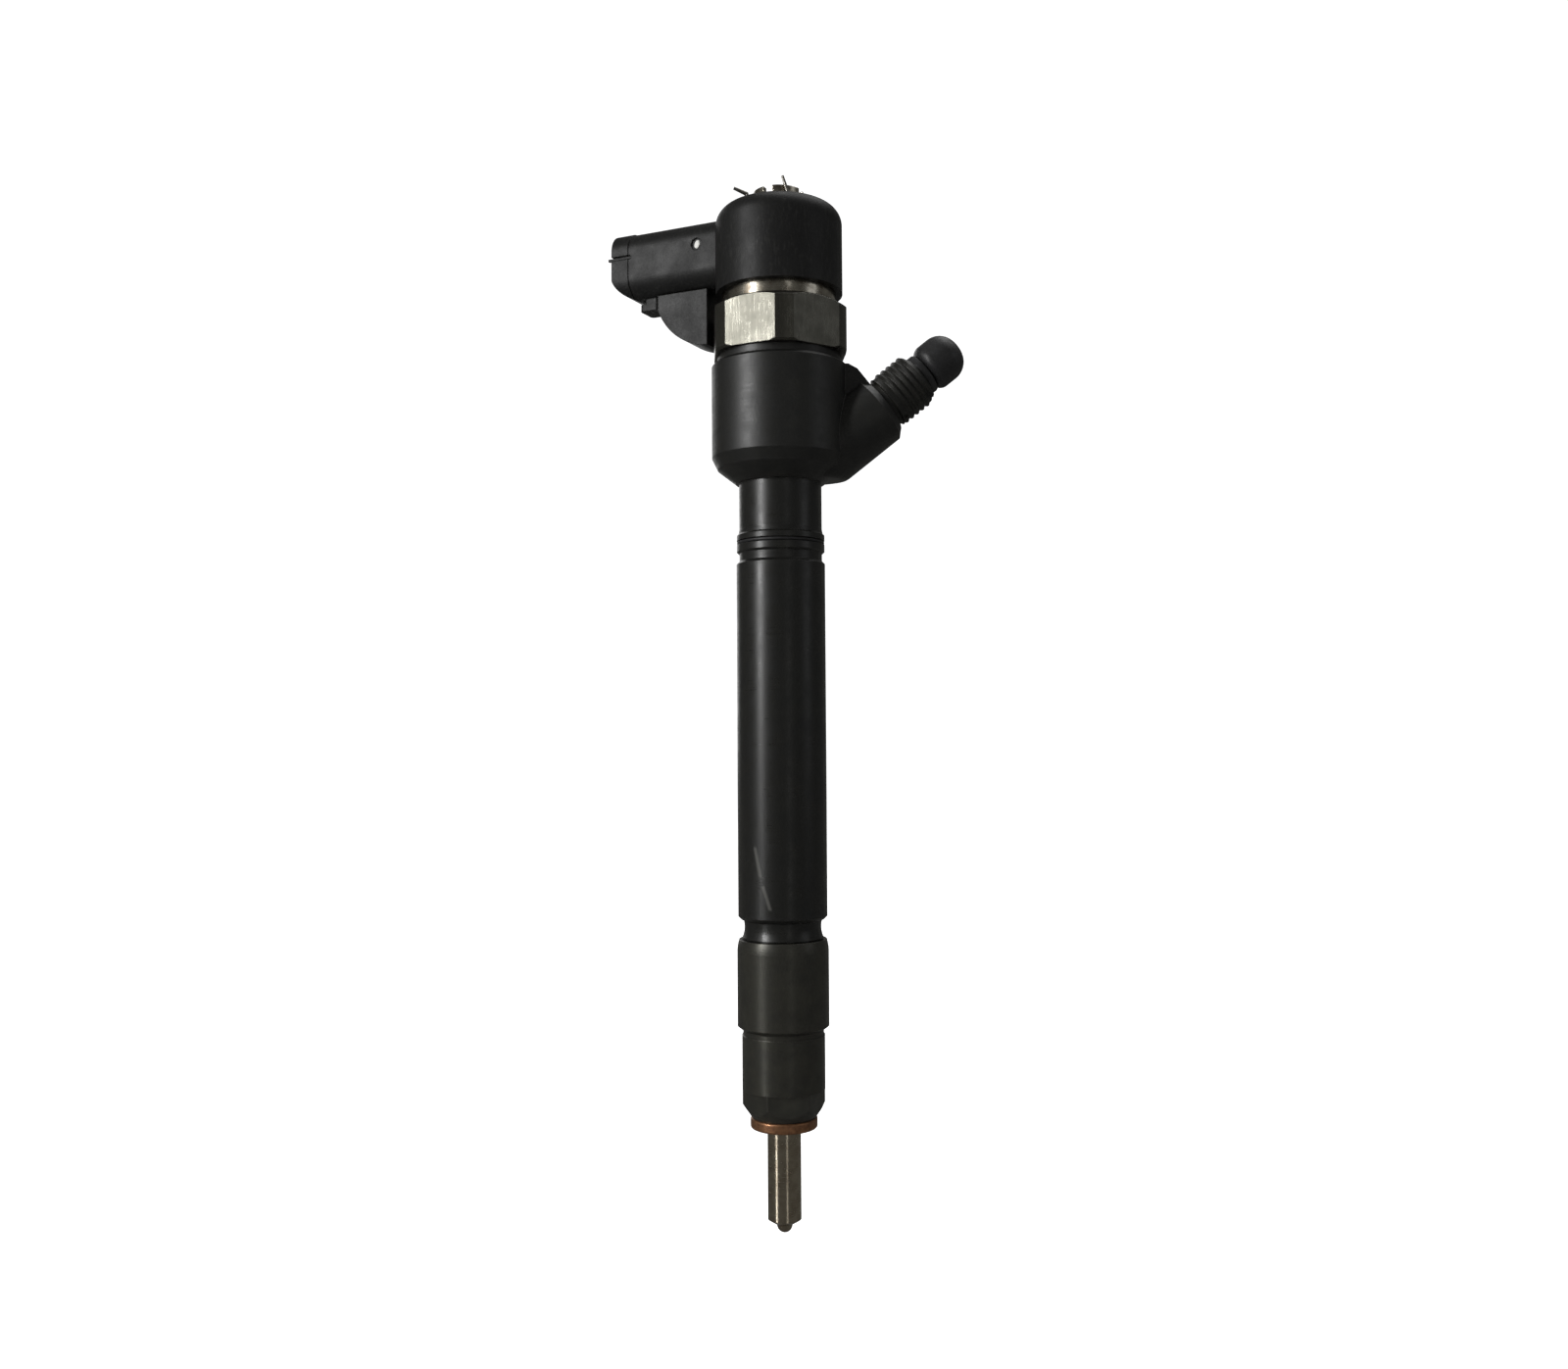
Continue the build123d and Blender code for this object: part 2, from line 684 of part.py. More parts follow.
with BuildPart() as injector_body:
    with BuildSketch(Plane.XZ):
        with BuildLine():
            Polyline(
                (waist_radius, stem_low - stem_cone),
                (stem_radius - stem_chamfer, stem_low),
                (stem_radius, stem_low + stem_chamfer),
                (stem_radius, stem_top - stem_chamfer),
                (stem_radius - stem_chamfer, stem_top),
                (groove_radius, stem_top + stem_cone),
                (groove_radius, collar_low),
                (collar_radius - collar_chamfer, collar_low),
                (collar_radius, collar_low + collar_chamfer),
                (collar_radius, collar_low + o_ring_groove_low),
                (o_ring_groove_radius, collar_low + o_ring_groove_low),
                (o_ring_groove_radius, collar_low + o_ring_groove_low + o_ring_groove_width),
                (collar_radius, collar_low + o_ring_groove_low + o_ring_groove_width),
                (collar_radius, collar_top - collar_chamfer),
                (collar_radius - collar_chamfer, collar_top),
                (neck_radius, collar_top + collar_cone),
                (neck_radius, neck_top),
                (head_root_radius, neck_top),
                (head_radius - head_shoulder_in, head_low - head_shoulder_drop),
                (head_radius, head_low),
                (head_radius, head_top - head_chamfer),
                (head_radius - head_chamfer, head_top),
                (band_radius, head_top),
                (band_radius, nut_seat),
                (spigot_radius, nut_seat),
                (spigot_radius, spigot_top),
                (0, spigot_top),
                (0, nozzle_top),
                (tail_radius, nozzle_top),
                (tail_radius, tail_top),
                (waist_radius + waist_flare, tail_top),
            )
            ThreePointArc(
                (waist_radius + waist_flare, tail_top),
                (waist_radius - waist_hollow, (tail_top + stem_low) / 2),
                (waist_radius, stem_low - stem_cone),
            )
        make_face()
    revolve(axis=Axis.Z)
    add(inlet_boss.part)
    with BuildSketch(Plane.XZ):
        Polygon(
            (0, nozzle_top),
            (spring_chamber_radius, nozzle_top),
            (spring_chamber_radius, spring_chamber_top),
            (piston_bore_radius, spring_chamber_top),
            (piston_bore_radius, valve_bore_low),
            (valve_bore_radius, valve_bore_low),
            (valve_bore_radius, valve_flange_low),
            (valve_flange_radius + thread_gap, valve_flange_low),
            (valve_flange_radius + thread_gap, valve_flange_top),
            (clamping_screw_radius + thread_gap, valve_flange_top),
            (clamping_screw_radius + thread_gap, clamping_screw_top),
            (armature_chamber_radius, clamping_screw_top),
            (armature_chamber_radius, lift_shim_low),
            (magnet_bore_radius, lift_shim_low),
            (magnet_bore_radius, spigot_top),
            (0, spigot_top),
        )
    revolve(axis=Axis.Z, mode=Mode.SUBTRACT)
    with BuildSketch(inlet_section):
        Polygon(
            (0, valve_bore_radius),
            (passage_radius, valve_bore_radius),
            (passage_radius, socket_floor),
            (inlet_spigot_radius + thread_gap, socket_floor),
            (inlet_spigot_radius + thread_gap, boss_length),
            (0, boss_length),
        )
    revolve(axis=inlet_line, mode=Mode.SUBTRACT)
    meeting_height = inlet_root.Z + drilling_offset * math.tan(math.radians(inlet_elevation))
    with BuildSketch(Plane.XY.offset(nozzle_top)):
        with Locations(polar(drilling_offset, inlet_azimuth)):
            Circle(drilling_radius)
    extrude(amount=meeting_height - nozzle_top, mode=Mode.SUBTRACT)
    for dowel_angle in dowel_angles:
        with BuildSketch(Plane.XY.offset(nozzle_top)):
            with Locations(polar(dowel_offset, dowel_angle)):
                Circle(dowel_radius + pocket_gap)
        extrude(amount=dowel_depth, mode=Mode.SUBTRACT)
injector_body.part.label = "injector_body"
export_step(injector_body.part, "parts/injector_body.step")

groove_mid = collar_low + o_ring_groove_low + o_ring_groove_width / 2
with BuildPart() as stem_o_ring:
    with BuildSketch(Plane.XZ):
        with Locations((o_ring_groove_radius + o_ring_wire_radius, groove_mid)):
            Circle(o_ring_wire_radius)
    revolve(axis=Axis.Z)
stem_o_ring.part.label = "stem_o_ring"
export_step(stem_o_ring.part, "parts/stem_o_ring.step")

# ================================================================ inlet neck, filter and dust plug
thread_start = boss_length + inlet_undercut_length
thread_end = thread_start + inlet_thread_length
cone_top = inlet_end - inlet_mouth_depth
filter_bore_radius = filter_radius + slide_gap
filter_seat = socket_floor + filter_seat_rise

with BuildPart() as inlet_neck:
    with BuildSketch(inlet_section):
        Polygon(
            (passage_radius, socket_floor),
            (inlet_spigot_radius, socket_floor),
            (inlet_spigot_radius, boss_length),
            (inlet_undercut_radius, boss_length),
            (inlet_undercut_radius, thread_start),
            (inlet_thread_radius, thread_start),
            (inlet_thread_radius, thread_end),
            (inlet_tip_radius, inlet_end),
            (inlet_mouth_radius, inlet_end),
            (inlet_mouth_radius, cone_top),
            (filter_bore_radius, cone_top - inlet_cone_depth),
            (filter_bore_radius, filter_seat),
            (passage_radius, filter_seat),
        )
    revolve(axis=inlet_line)
inlet_neck.part.label = "inlet_neck"
export_step(inlet_neck.part, "parts/inlet_neck.step")

filter_plane = Plane(
    inlet_root + inlet_direction * filter_seat, x_dir=inlet_across, z_dir=inlet_direction
)
with BuildPart() as edge_filter:
    with BuildSketch(filter_plane):
        Circle(filter_radius)
    extrude(amount=filter_length)
    with BuildSketch(filter_plane.offset(filter_land)):
        Circle(2 * filter_radius)
        RegularPolygon(filter_radius - filter_flute_depth, 6, major_radius=False, mode=Mode.SUBTRACT)
    extrude(amount=filter_length - 2 * filter_land, mode=Mode.SUBTRACT)
edge_filter.part.label = "edge_filter"
export_step(edge_filter.part, "parts/edge_filter.step")

plug_neck_end = inlet_end + plug_neck_length
plug_end = plug_neck_end + plug_knob_length
with BuildPart() as inlet_dust_plug:
    with BuildSketch(inlet_section):
        Polygon(
            (0, inlet_end - plug_stem_length),
            (inlet_mouth_radius - slide_gap, inlet_end - plug_stem_length),
            (inlet_mouth_radius - slide_gap, inlet_end),
            (plug_neck_radius, inlet_end),
            (plug_neck_radius, plug_neck_end),
            (plug_knob_radius, plug_neck_end),
            (plug_knob_radius, plug_end),
            (0, plug_end),
        )
    revolve(axis=inlet_line)
    knob_edges = inlet_dust_plug.edges().filter_by(GeomType.CIRCLE).sort_by(inlet_line)
    fillet(knob_edges[-1], plug_knob_round)
    fillet(inlet_dust_plug.edges().filter_by(GeomType.CIRCLE).sort_by(SortBy.RADIUS)[-2:],
           plug_knob_small_round)
inlet_dust_plug.part.label = "inlet_dust_plug"
export_step(inlet_dust_plug.part, "parts/inlet_dust_plug.step")

# ================================================================ control valve
with BuildPart() as valve_seal_ring:
    with BuildSketch(Plane.XY.offset(valve_bore_low)):
        Circle(seal_ring_radius)
        Circle(seal_ring_bore, mode=Mode.SUBTRACT)
    extrude(amount=seal_ring_thickness)
valve_seal_ring.part.label = "valve_seal_ring"
export_step(valve_seal_ring.part, "parts/valve_seal_ring.step")

throttle_height = (piston_stop + control_chamber_top) / 2
with BuildPart() as valve_body:
    with BuildSketch(Plane.XZ):
        Polygon(
            (piston_radius + running_gap, valve_sleeve_low),
            (valve_sleeve_radius, valve_sleeve_low),
            (valve_sleeve_radius, valve_flange_low),
            (valve_flange_radius, valve_flange_low),
            (valve_flange_radius, valve_flange_top),
            (valve_nose_radius, valve_flange_top),
            (valve_nose_radius, valve_nose_top),
            (outlet_radius, valve_nose_top),
            (outlet_radius, control_chamber_top + throttle_length + outlet_taper_length),
            (throttle_radius, control_chamber_top + throttle_length),
            (throttle_radius, control_chamber_top),
            (control_chamber_radius, control_chamber_top),
            (control_chamber_radius, piston_stop),
            (piston_radius + running_gap, piston_stop),
        )
    revolve(axis=Axis.Z)
    with BuildSketch(Plane((0, 0, throttle_height), z_dir=inlet_across)):
        Circle(throttle_radius)
    extrude(amount=2 * valve_sleeve_radius, mode=Mode.SUBTRACT)
valve_body.part.label = "valve_body"
export_step(valve_body.part, "parts/valve_body.step")

with BuildPart() as valve_clamping_screw:
    with BuildSketch(Plane.XY.offset(valve_flange_top)):
        Circle(clamping_screw_radius)
        Circle(clamping_screw_bore, mode=Mode.SUBTRACT)
        with PolarLocations(key_hole_offset, key_hole_count):
            Circle(key_hole_radius, mode=Mode.SUBTRACT)
    extrude(amount=clamping_screw_length)
valve_clamping_screw.part.label = "valve_clamping_screw"
export_step(valve_clamping_screw.part, "parts/valve_clamping_screw.step")

with BuildPart() as valve_ball:
    with BuildSketch(Plane.XZ):
        with BuildLine():
            Line((0, ball_height - ball_radius), (0, ball_height + ball_radius))
            CenterArc((0, ball_height), ball_radius, -90, 180)
        make_face()
    revolve(axis=Axis.Z)
valve_ball.part.label = "valve_ball"
export_step(valve_ball.part, "parts/valve_ball.step")

with BuildPart() as ball_holder:
    with BuildSketch(Plane.XY.offset(ball_holder_low)):
        Circle(ball_holder_radius)
    extrude(amount=ball_holder_height)
    add(valve_ball.part, mode=Mode.SUBTRACT)
ball_holder.part.label = "ball_holder"
export_step(ball_holder.part, "parts/ball_holder.step")

# ================================================================ armature
with BuildPart() as armature_guide:
    with BuildSketch(Plane.XZ):
        Polygon(
            (armature_pin_radius + running_gap, clamping_screw_top),
            (armature_guide_radius, clamping_screw_top),
            (armature_guide_radius, guide_top),
            (armature_hub_radius, guide_top),
            (armature_hub_radius, hub_top),
            (armature_pin_radius + running_gap, hub_top),
        )
    revolve(axis=Axis.Z)
    with BuildSketch(Plane.XY.offset(clamping_screw_top)):
        with PolarLocations(key_hole_offset, key_hole_count):
            Circle(key_hole_radius)
    extrude(amount=armature_guide_thickness, mode=Mode.SUBTRACT)
armature_guide.part.label = "armature_guide"
export_step(armature_guide.part, "parts/armature_guide.step")

with BuildPart() as armature_pin:
    with BuildSketch(Plane.XZ):
        Polygon(
            (0, ball_holder_top),
            (armature_pin_radius, ball_holder_top),
            (armature_pin_radius, plate_top),
            (retainer_groove_radius, plate_top),
            (retainer_groove_radius, retainer_top),
            (armature_pin_radius, retainer_top),
            (armature_pin_radius, retainer_top + armature_pin_top),
            (0, retainer_top + armature_pin_top),
        )
    revolve(axis=Axis.Z)
armature_pin.part.label = "armature_pin"
export_step(armature_pin.part, "parts/armature_pin.step")

with BuildPart() as armature_plate:
    with BuildSketch(Plane.XY.offset(plate_low)):
        Circle(armature_plate_radius)
        Circle(armature_pin_radius + slide_gap, mode=Mode.SUBTRACT)
        with PolarLocations(armature_slot_offset, armature_slot_count):
            SlotOverall(armature_slot_radius * 4, armature_slot_radius * 2, mode=Mode.SUBTRACT)
    extrude(amount=armature_plate_thickness)
armature_plate.part.label = "armature_plate"
export_step(armature_plate.part, "parts/armature_plate.step")

with BuildPart() as armature_retainer:
    with BuildSketch(Plane.XY.offset(plate_top)):
        Circle(retainer_radius)
        Circle(retainer_groove_radius, mode=Mode.SUBTRACT)
        with Locations((retainer_radius, 0)):
            Rectangle(2 * retainer_radius, retainer_gap_width, mode=Mode.SUBTRACT)
    extrude(amount=retainer_thickness)
armature_retainer.part.label = "armature_retainer"
export_step(armature_retainer.part, "parts/armature_retainer.step")

with BuildPart() as lift_shim:
    with BuildSketch(Plane.XY.offset(lift_shim_low)):
        Circle(lift_shim_radius)
        Circle(lift_shim_bore, mode=Mode.SUBTRACT)
    extrude(amount=lift_shim_thickness)
lift_shim.part.label = "lift_shim"
export_step(lift_shim.part, "parts/lift_shim.step")

# ================================================================ magnet group
seal_low = slot_floor + head_seal_rise
with BuildPart() as magnet_core:
    with BuildSketch(Plane.XZ):
        Polygon(
            (core_bore_radius, core_low),
            (coil_slot_inner, core_low),
            (coil_slot_inner, slot_floor),
            (coil_slot_outer, slot_floor),
            (coil_slot_outer, core_low),
            (core_radius, core_low),
            (core_radius, seal_low),
            (head_seal_groove_radius, seal_low),
            (head_seal_groove_radius, seal_low + head_seal_groove_width),
            (core_radius, seal_low + head_seal_groove_width),
            (core_radius, core_top),
            (core_vent_radius, core_top),
            (core_vent_radius, spring_seat_top),
            (core_bore_radius, spring_seat_top),
        )
    revolve(axis=Axis.Z)
    with BuildSketch(Plane.XY.offset(slot_floor)):
        with Locations((-lead_offset, lead_side), (-lead_offset, -lead_side)):
            Circle(lead_hole_radius)
    extrude(amount=core_top - slot_floor, mode=Mode.SUBTRACT)
magnet_core.part.label = "magnet_core"
export_step(magnet_core.part, "parts/magnet_core.step")

bobbin_low = core_low + residual_air_gap
bobbin_inner = coil_slot_inner + loose_gap
bobbin_outer = coil_slot_outer - loose_gap
with BuildPart() as coil_bobbin:
    with BuildSketch(Plane.XZ):
        Polygon(
            (bobbin_inner, bobbin_low),
            (bobbin_outer, bobbin_low),
            (bobbin_outer, bobbin_low + bobbin_wall),
            (bobbin_inner + bobbin_wall, bobbin_low + bobbin_wall),
            (bobbin_inner + bobbin_wall, slot_floor - bobbin_wall),
            (bobbin_outer, slot_floor - bobbin_wall),
            (bobbin_outer, slot_floor),
            (bobbin_inner, slot_floor),
        )
    revolve(axis=Axis.Z)
coil_bobbin.part.label = "coil_bobbin"
export_step(coil_bobbin.part, "parts/coil_bobbin.step")

with BuildPart() as coil_winding:
    with BuildSketch(Plane.XY.offset(bobbin_low + bobbin_wall)):
        Circle(bobbin_outer - loose_gap)
        Circle(bobbin_inner + bobbin_wall + slide_gap, mode=Mode.SUBTRACT)
    extrude(amount=slot_floor - bobbin_low - 2 * bobbin_wall)
coil_winding.part.label = "coil_winding"
export_step(coil_winding.part, "parts/coil_winding.step")

with BuildPart() as spring_seat:
    with BuildSketch(Plane.XY.offset(spring_seat_low)):
        Circle(core_bore_radius - slide_gap)
        Circle(spring_seat_bore, mode=Mode.SUBTRACT)
    extrude(amount=spring_seat_thickness)
spring_seat.part.label = "spring_seat"
export_step(spring_seat.part, "parts/spring_seat.step")

with BuildPart() as head_o_ring:
    with BuildSketch(Plane.XZ):
        with Locations((head_seal_groove_radius + head_seal_wire_radius + slide_gap,
                        seal_low + head_seal_groove_width / 2)):
            Circle(head_seal_wire_radius)
    revolve(axis=Axis.Z)
head_o_ring.part.label = "head_o_ring"
export_step(head_o_ring.part, "parts/head_o_ring.step")

with BuildPart() as magnet_sleeve:
    with BuildSketch(Plane.XZ):
        Polygon(
            (sleeve_bore_radius, spigot_top),
            (sleeve_flange_radius, spigot_top),
            (sleeve_flange_radius, sleeve_flange_top),
            (sleeve_radius, sleeve_flange_top),
            (sleeve_radius, sleeve_top),
            (sleeve_bore_radius, sleeve_top),
        )
    revolve(axis=Axis.Z)
magnet_sleeve.part.label = "magnet_sleeve"
export_step(magnet_sleeve.part, "parts/magnet_sleeve.step")

with BuildPart() as solenoid_nut:
    with BuildSketch(Plane.XZ):
        Polygon(
            (solenoid_nut_bore_radius, nut_seat),
            (solenoid_nut_radius - solenoid_nut_low_chamfer, nut_seat),
            (solenoid_nut_radius, nut_seat + solenoid_nut_low_chamfer),
            (solenoid_nut_radius, solenoid_nut_top - solenoid_nut_top_chamfer),
            (solenoid_nut_radius - solenoid_nut_top_taper, solenoid_nut_top),
            (solenoid_nut_lip_bore, solenoid_nut_top),
            (solenoid_nut_lip_bore, sleeve_flange_top),
            (solenoid_nut_bore_radius, sleeve_flange_top),
        )
    revolve(axis=Axis.Z)
    with BuildSketch(Plane.XY.offset(nut_seat)):
        RegularPolygon(solenoid_nut_across_flats / 2, 6, major_radius=False,
                       rotation=solenoid_flat_angle + 30)
    extrude(amount=solenoid_nut_top - nut_seat, mode=Mode.INTERSECT)
solenoid_nut.part.label = "solenoid_nut"
export_step(solenoid_nut.part, "parts/solenoid_nut.step")

# ================================================================ electrical side
with BuildPart() as terminals:
    for side in (-1, 1):
        blade_centre = side * (blade_inner + blade_width / 2)
        with BuildSketch(Plane.XY.offset(connector_axis - blade_thickness / 2)):
            with Locations((-(connector_reach - blade_tip_setback + blade_root) / 2, blade_centre)):
                Rectangle(connector_reach - blade_tip_setback - blade_root, blade_width)
        extrude(amount=blade_thickness)
        with BuildSketch(Plane.XY.offset(slot_floor)):
            with Locations((-lead_offset, side * lead_side)):
                Rectangle(lead_width, lead_width)
        extrude(amount=connector_axis - slot_floor)
terminals.part.label = "terminals"
export_step(terminals.part, "parts/terminals.step")

connector_plane = Plane((-connector_reach, 0, connector_axis), x_dir=(0, 1, 0), z_dir=(1, 0, 0))
connector_low = connector_axis - connector_height / 2
code_slot_height = connector_axis + code_slot_rise

gusset_bow = math.sin(math.radians(gusset_bow_angle))
gusset_middle = gusset_inner + (gusset_reach - gusset_inner) * gusset_bow

with BuildPart() as solenoid_cap:
    with BuildSketch(Plane.XY.offset(cap_low)):
        Circle(cap_radius)
    extrude(amount=cap_height)
    fillet(solenoid_cap.edges().group_by(Axis.Z)[-1], cap_edge_round)
    with BuildSketch(Plane.XY.offset(core_top)):
        Circle(cap_plug_radius)
    extrude(amount=cap_low - core_top)
    with BuildSketch(connector_plane):
        RectangleRounded(connector_width, connector_height, connector_round)
    extrude(amount=connector_reach - cap_radius / 2)
    with BuildSketch(connector_plane):
        RectangleRounded(connector_width + 2 * connector_collar_lift,
                         connector_height + 2 * connector_collar_lift, connector_round)
    extrude(amount=connector_collar_length)
    with BuildSketch(Plane.XZ):
        with BuildLine():
            Polyline(
                (-gusset_reach, cap_low - gusset_heel),
                (-gusset_reach, connector_low),
                (-gusset_inner, connector_low),
                (-gusset_inner, cap_low - gusset_drop),
                (-gusset_inner - gusset_toe, cap_low - gusset_drop),
            )
            ThreePointArc(
                (-gusset_inner - gusset_toe, cap_low - gusset_drop),
                (-gusset_middle, cap_low - gusset_drop * gusset_bow),
                (-gusset_reach, cap_low - gusset_heel),
            )
        make_face()
    extrude(amount=gusset_thickness / 2, both=True)
    with BuildSketch(Plane.XY.offset(connector_low - latch_drop)):
        with Locations((-(latch_near + latch_far) / 2, 0)):
            RectangleRounded(latch_far - latch_near, latch_width, latch_round)
    extrude(amount=latch_drop + cut_margin)
    with BuildSketch(connector_plane):
        RectangleRounded(socket_width, socket_height, socket_round)
    extrude(amount=socket_depth, mode=Mode.SUBTRACT)
    with BuildSketch(Plane.XZ):
        with BuildLine():
            Polyline(
                (-connector_reach, connector_low + mouth_cut_height),
                (-connector_reach - cut_margin, connector_low + mouth_cut_height),
                (-connector_reach - cut_margin, connector_low - cut_margin),
                (-connector_reach + mouth_cut_length, connector_low - cut_margin),
                (-connector_reach + mouth_cut_length, connector_low),
            )
            ThreePointArc(
                (-connector_reach + mouth_cut_length, connector_low),
                (mouth_cut_length * mouth_cut_bow - connector_reach,
                 connector_low + mouth_cut_height * mouth_cut_bow),
                (-connector_reach, connector_low + mouth_cut_height),
            )
        make_face()
    extrude(amount=connector_width, both=True, mode=Mode.SUBTRACT)
    with BuildSketch(Plane.XZ.offset(socket_width / 2 - code_slot_bite)):
        with Locations((-connector_reach + code_slot_length / 2, code_slot_height)):
            SlotOverall(code_slot_length + code_slot_width, code_slot_width)
    extrude(amount=connector_width / 2, mode=Mode.SUBTRACT)
    with BuildSketch(Plane.XY.offset(code_slot_height - code_rib_height / 2)):
        with Locations(((code_rib_length - 2 * code_rib_stand_out) / 2 - connector_reach,
                        -(socket_width / 2 + connector_width / 2) / 2)):
            Rectangle(code_rib_length, code_rib_thickness)
    extrude(amount=code_rib_height)
    with BuildSketch(Plane.XZ.offset(connector_width / 2 - dimple_depth)):
        with Locations((-dimple_distance, connector_axis + dimple_rise)):
            Circle(dimple_radius)
    extrude(amount=dimple_depth + cut_margin, mode=Mode.SUBTRACT)
    with BuildSketch(Plane.XY.offset(cap_low)):
        Circle(sleeve_radius + cap_slot_gap)
        Circle(cap_plug_radius, mode=Mode.SUBTRACT)
    extrude(amount=sleeve_inset, mode=Mode.SUBTRACT)
    with BuildSketch(Plane.XY.offset(port_low)):
        Circle(port_radius + cap_slot_gap)
    extrude(amount=port_depth, mode=Mode.SUBTRACT)
    with BuildSketch(Plane.XY.offset(core_top)):
        Circle(channel_radius)
    extrude(amount=port_low - core_top, mode=Mode.SUBTRACT)
    add(terminals.part, mode=Mode.SUBTRACT)
solenoid_cap.part.label = "solenoid_cap"
export_step(solenoid_cap.part, "parts/solenoid_cap.step")

with BuildPart() as return_port_sleeve:
    with BuildSketch(Plane.XY.offset(port_low)):
        Circle(port_radius)
        Circle(port_bore_radius, mode=Mode.SUBTRACT)
    extrude(amount=port_top - port_low)
    with BuildSketch(Plane.XY.offset(port_top - port_notch_depth)):
        with PolarLocations((port_radius + port_bore_radius) / 2, port_notch_count):
            Rectangle(2 * port_wall, port_notch_width)
    extrude(amount=port_notch_depth, mode=Mode.SUBTRACT)
return_port_sleeve.part.label = "return_port_sleeve"
export_step(return_port_sleeve.part, "parts/return_port_sleeve.step")

clip_height = cap_top + clip_wire_radius
clip_end_angle = clip_start_angle + clip_sweep_angle
with BuildPart() as return_clip:
    with BuildLine() as clip_path:
        CenterArc((0, 0, clip_height), clip_radius, clip_start_angle,
                  clip_sweep_angle)
    with BuildSketch(Plane(clip_path.line @ 0, z_dir=clip_path.line % 0)):
        Circle(clip_wire_radius)
    sweep()
    finger_foot = polar(clip_radius, clip_start_angle, clip_height)
    finger_tip = polar(clip_radius, clip_finger_angle, clip_height + clip_finger_rise)
    tail_foot = polar(clip_radius, clip_end_angle, clip_height)
    tail_elbow = polar(clip_tail_elbow_reach, clip_end_angle, clip_height + clip_tail_elbow_rise)
    tail_tip = polar(clip_tail_reach, clip_tail_angle, clip_height + clip_tail_rise)
    for foot, tip in ((finger_foot, finger_tip), (tail_foot, tail_elbow), (tail_elbow, tail_tip)):
        with BuildSketch(Plane(foot, z_dir=tip - foot)):
            Circle(clip_wire_radius)
        extrude(amount=(tip - foot).length, taper=clip_taper)
        with Locations(foot):
            Sphere(clip_elbow_radius)
return_clip.part.label = "return_clip"
export_step(return_clip.part, "parts/return_clip.step")
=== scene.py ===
"""Studio scene of a common-rail diesel fuel injector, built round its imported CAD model."""

import logging
import math
from dataclasses import dataclass
from enum import Enum
from typing import Any, Optional, Union

import bmesh
import bpy
from mathutils import Matrix, Vector

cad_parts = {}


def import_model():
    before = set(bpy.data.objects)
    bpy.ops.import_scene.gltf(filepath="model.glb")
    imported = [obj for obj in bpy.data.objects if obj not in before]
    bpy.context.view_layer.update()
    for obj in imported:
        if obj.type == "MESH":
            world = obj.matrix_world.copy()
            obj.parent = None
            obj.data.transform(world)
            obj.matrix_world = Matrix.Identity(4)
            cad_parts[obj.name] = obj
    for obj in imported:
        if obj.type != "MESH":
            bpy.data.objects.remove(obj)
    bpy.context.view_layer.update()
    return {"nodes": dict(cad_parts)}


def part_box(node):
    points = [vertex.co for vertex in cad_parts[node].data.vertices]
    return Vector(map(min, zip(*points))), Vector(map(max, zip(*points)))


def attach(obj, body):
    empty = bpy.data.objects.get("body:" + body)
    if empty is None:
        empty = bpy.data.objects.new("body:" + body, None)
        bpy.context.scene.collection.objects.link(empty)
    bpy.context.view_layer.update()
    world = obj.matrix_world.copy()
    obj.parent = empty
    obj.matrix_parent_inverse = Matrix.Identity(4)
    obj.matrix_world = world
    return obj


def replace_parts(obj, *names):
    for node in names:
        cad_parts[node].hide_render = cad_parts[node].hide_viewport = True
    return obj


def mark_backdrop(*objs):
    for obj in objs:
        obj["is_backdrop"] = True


MM = 0.001
LOG = logging.getLogger("fuel_injector")
BEVEL_SAMPLES = 6
WEAR_REACH = 0.12       # how far the normals must differ for full wear
MERGE_DISTANCE = 0.0005 * MM

Colour = tuple[float, float, float]
Value = Union["Wire", float]


# ------------------------------------------------------------------ shader maths
class Wire:
    """One output socket of a node tree, with the arithmetic that shader maths needs."""

    def __init__(self, tree: "Tree", socket: bpy.types.NodeSocket) -> None:
        """Wraps a socket.

        Args:
            tree: The tree that the socket belongs to.
            socket: The output socket.
        """
        self.tree = tree
        self.socket = socket

    def __add__(self, other: Value) -> "Wire":
        """Returns this value plus another."""
        return self.tree.maths("ADD", self, other)

    def __sub__(self, other: Value) -> "Wire":
        """Returns this value less another."""
        return self.tree.maths("SUBTRACT", self, other)

    def __mul__(self, other: Value) -> "Wire":
        """Returns this value times another."""
        return self.tree.maths("MULTIPLY", self, other)

    def __truediv__(self, other: Value) -> "Wire":
        """Returns this value over another."""
        return self.tree.maths("DIVIDE", self, other)

    def __rsub__(self, other: Value) -> "Wire":
        """Returns another value less this one."""
        return self.tree.maths("SUBTRACT", other, self)

    __radd__ = __add__
    __rmul__ = __mul__

    def size(self) -> "Wire":
        """Returns this value without its sign."""
        return self.tree.maths("ABSOLUTE", self)

    def band(self, low: float, high: float) -> "Wire":
        """Rises smoothly from 0 at low to 1 at high.

        Args:
            low: Where the rise starts.
            high: Where it ends. A high below low gives a fall instead.

        Returns:
            The smoothed value, between 0 and 1.
        """
        inputs = {"Value": self, "From Min": low, "From Max": high}
        settings = {"interpolation_type": "SMOOTHSTEP"}
        if high < low:
            inputs = {"Value": self, "From Min": high, "From Max": low, "To Min": 1.0, "To Max": 0.0}
        return self.tree.node("ShaderNodeMapRange", settings, inputs)


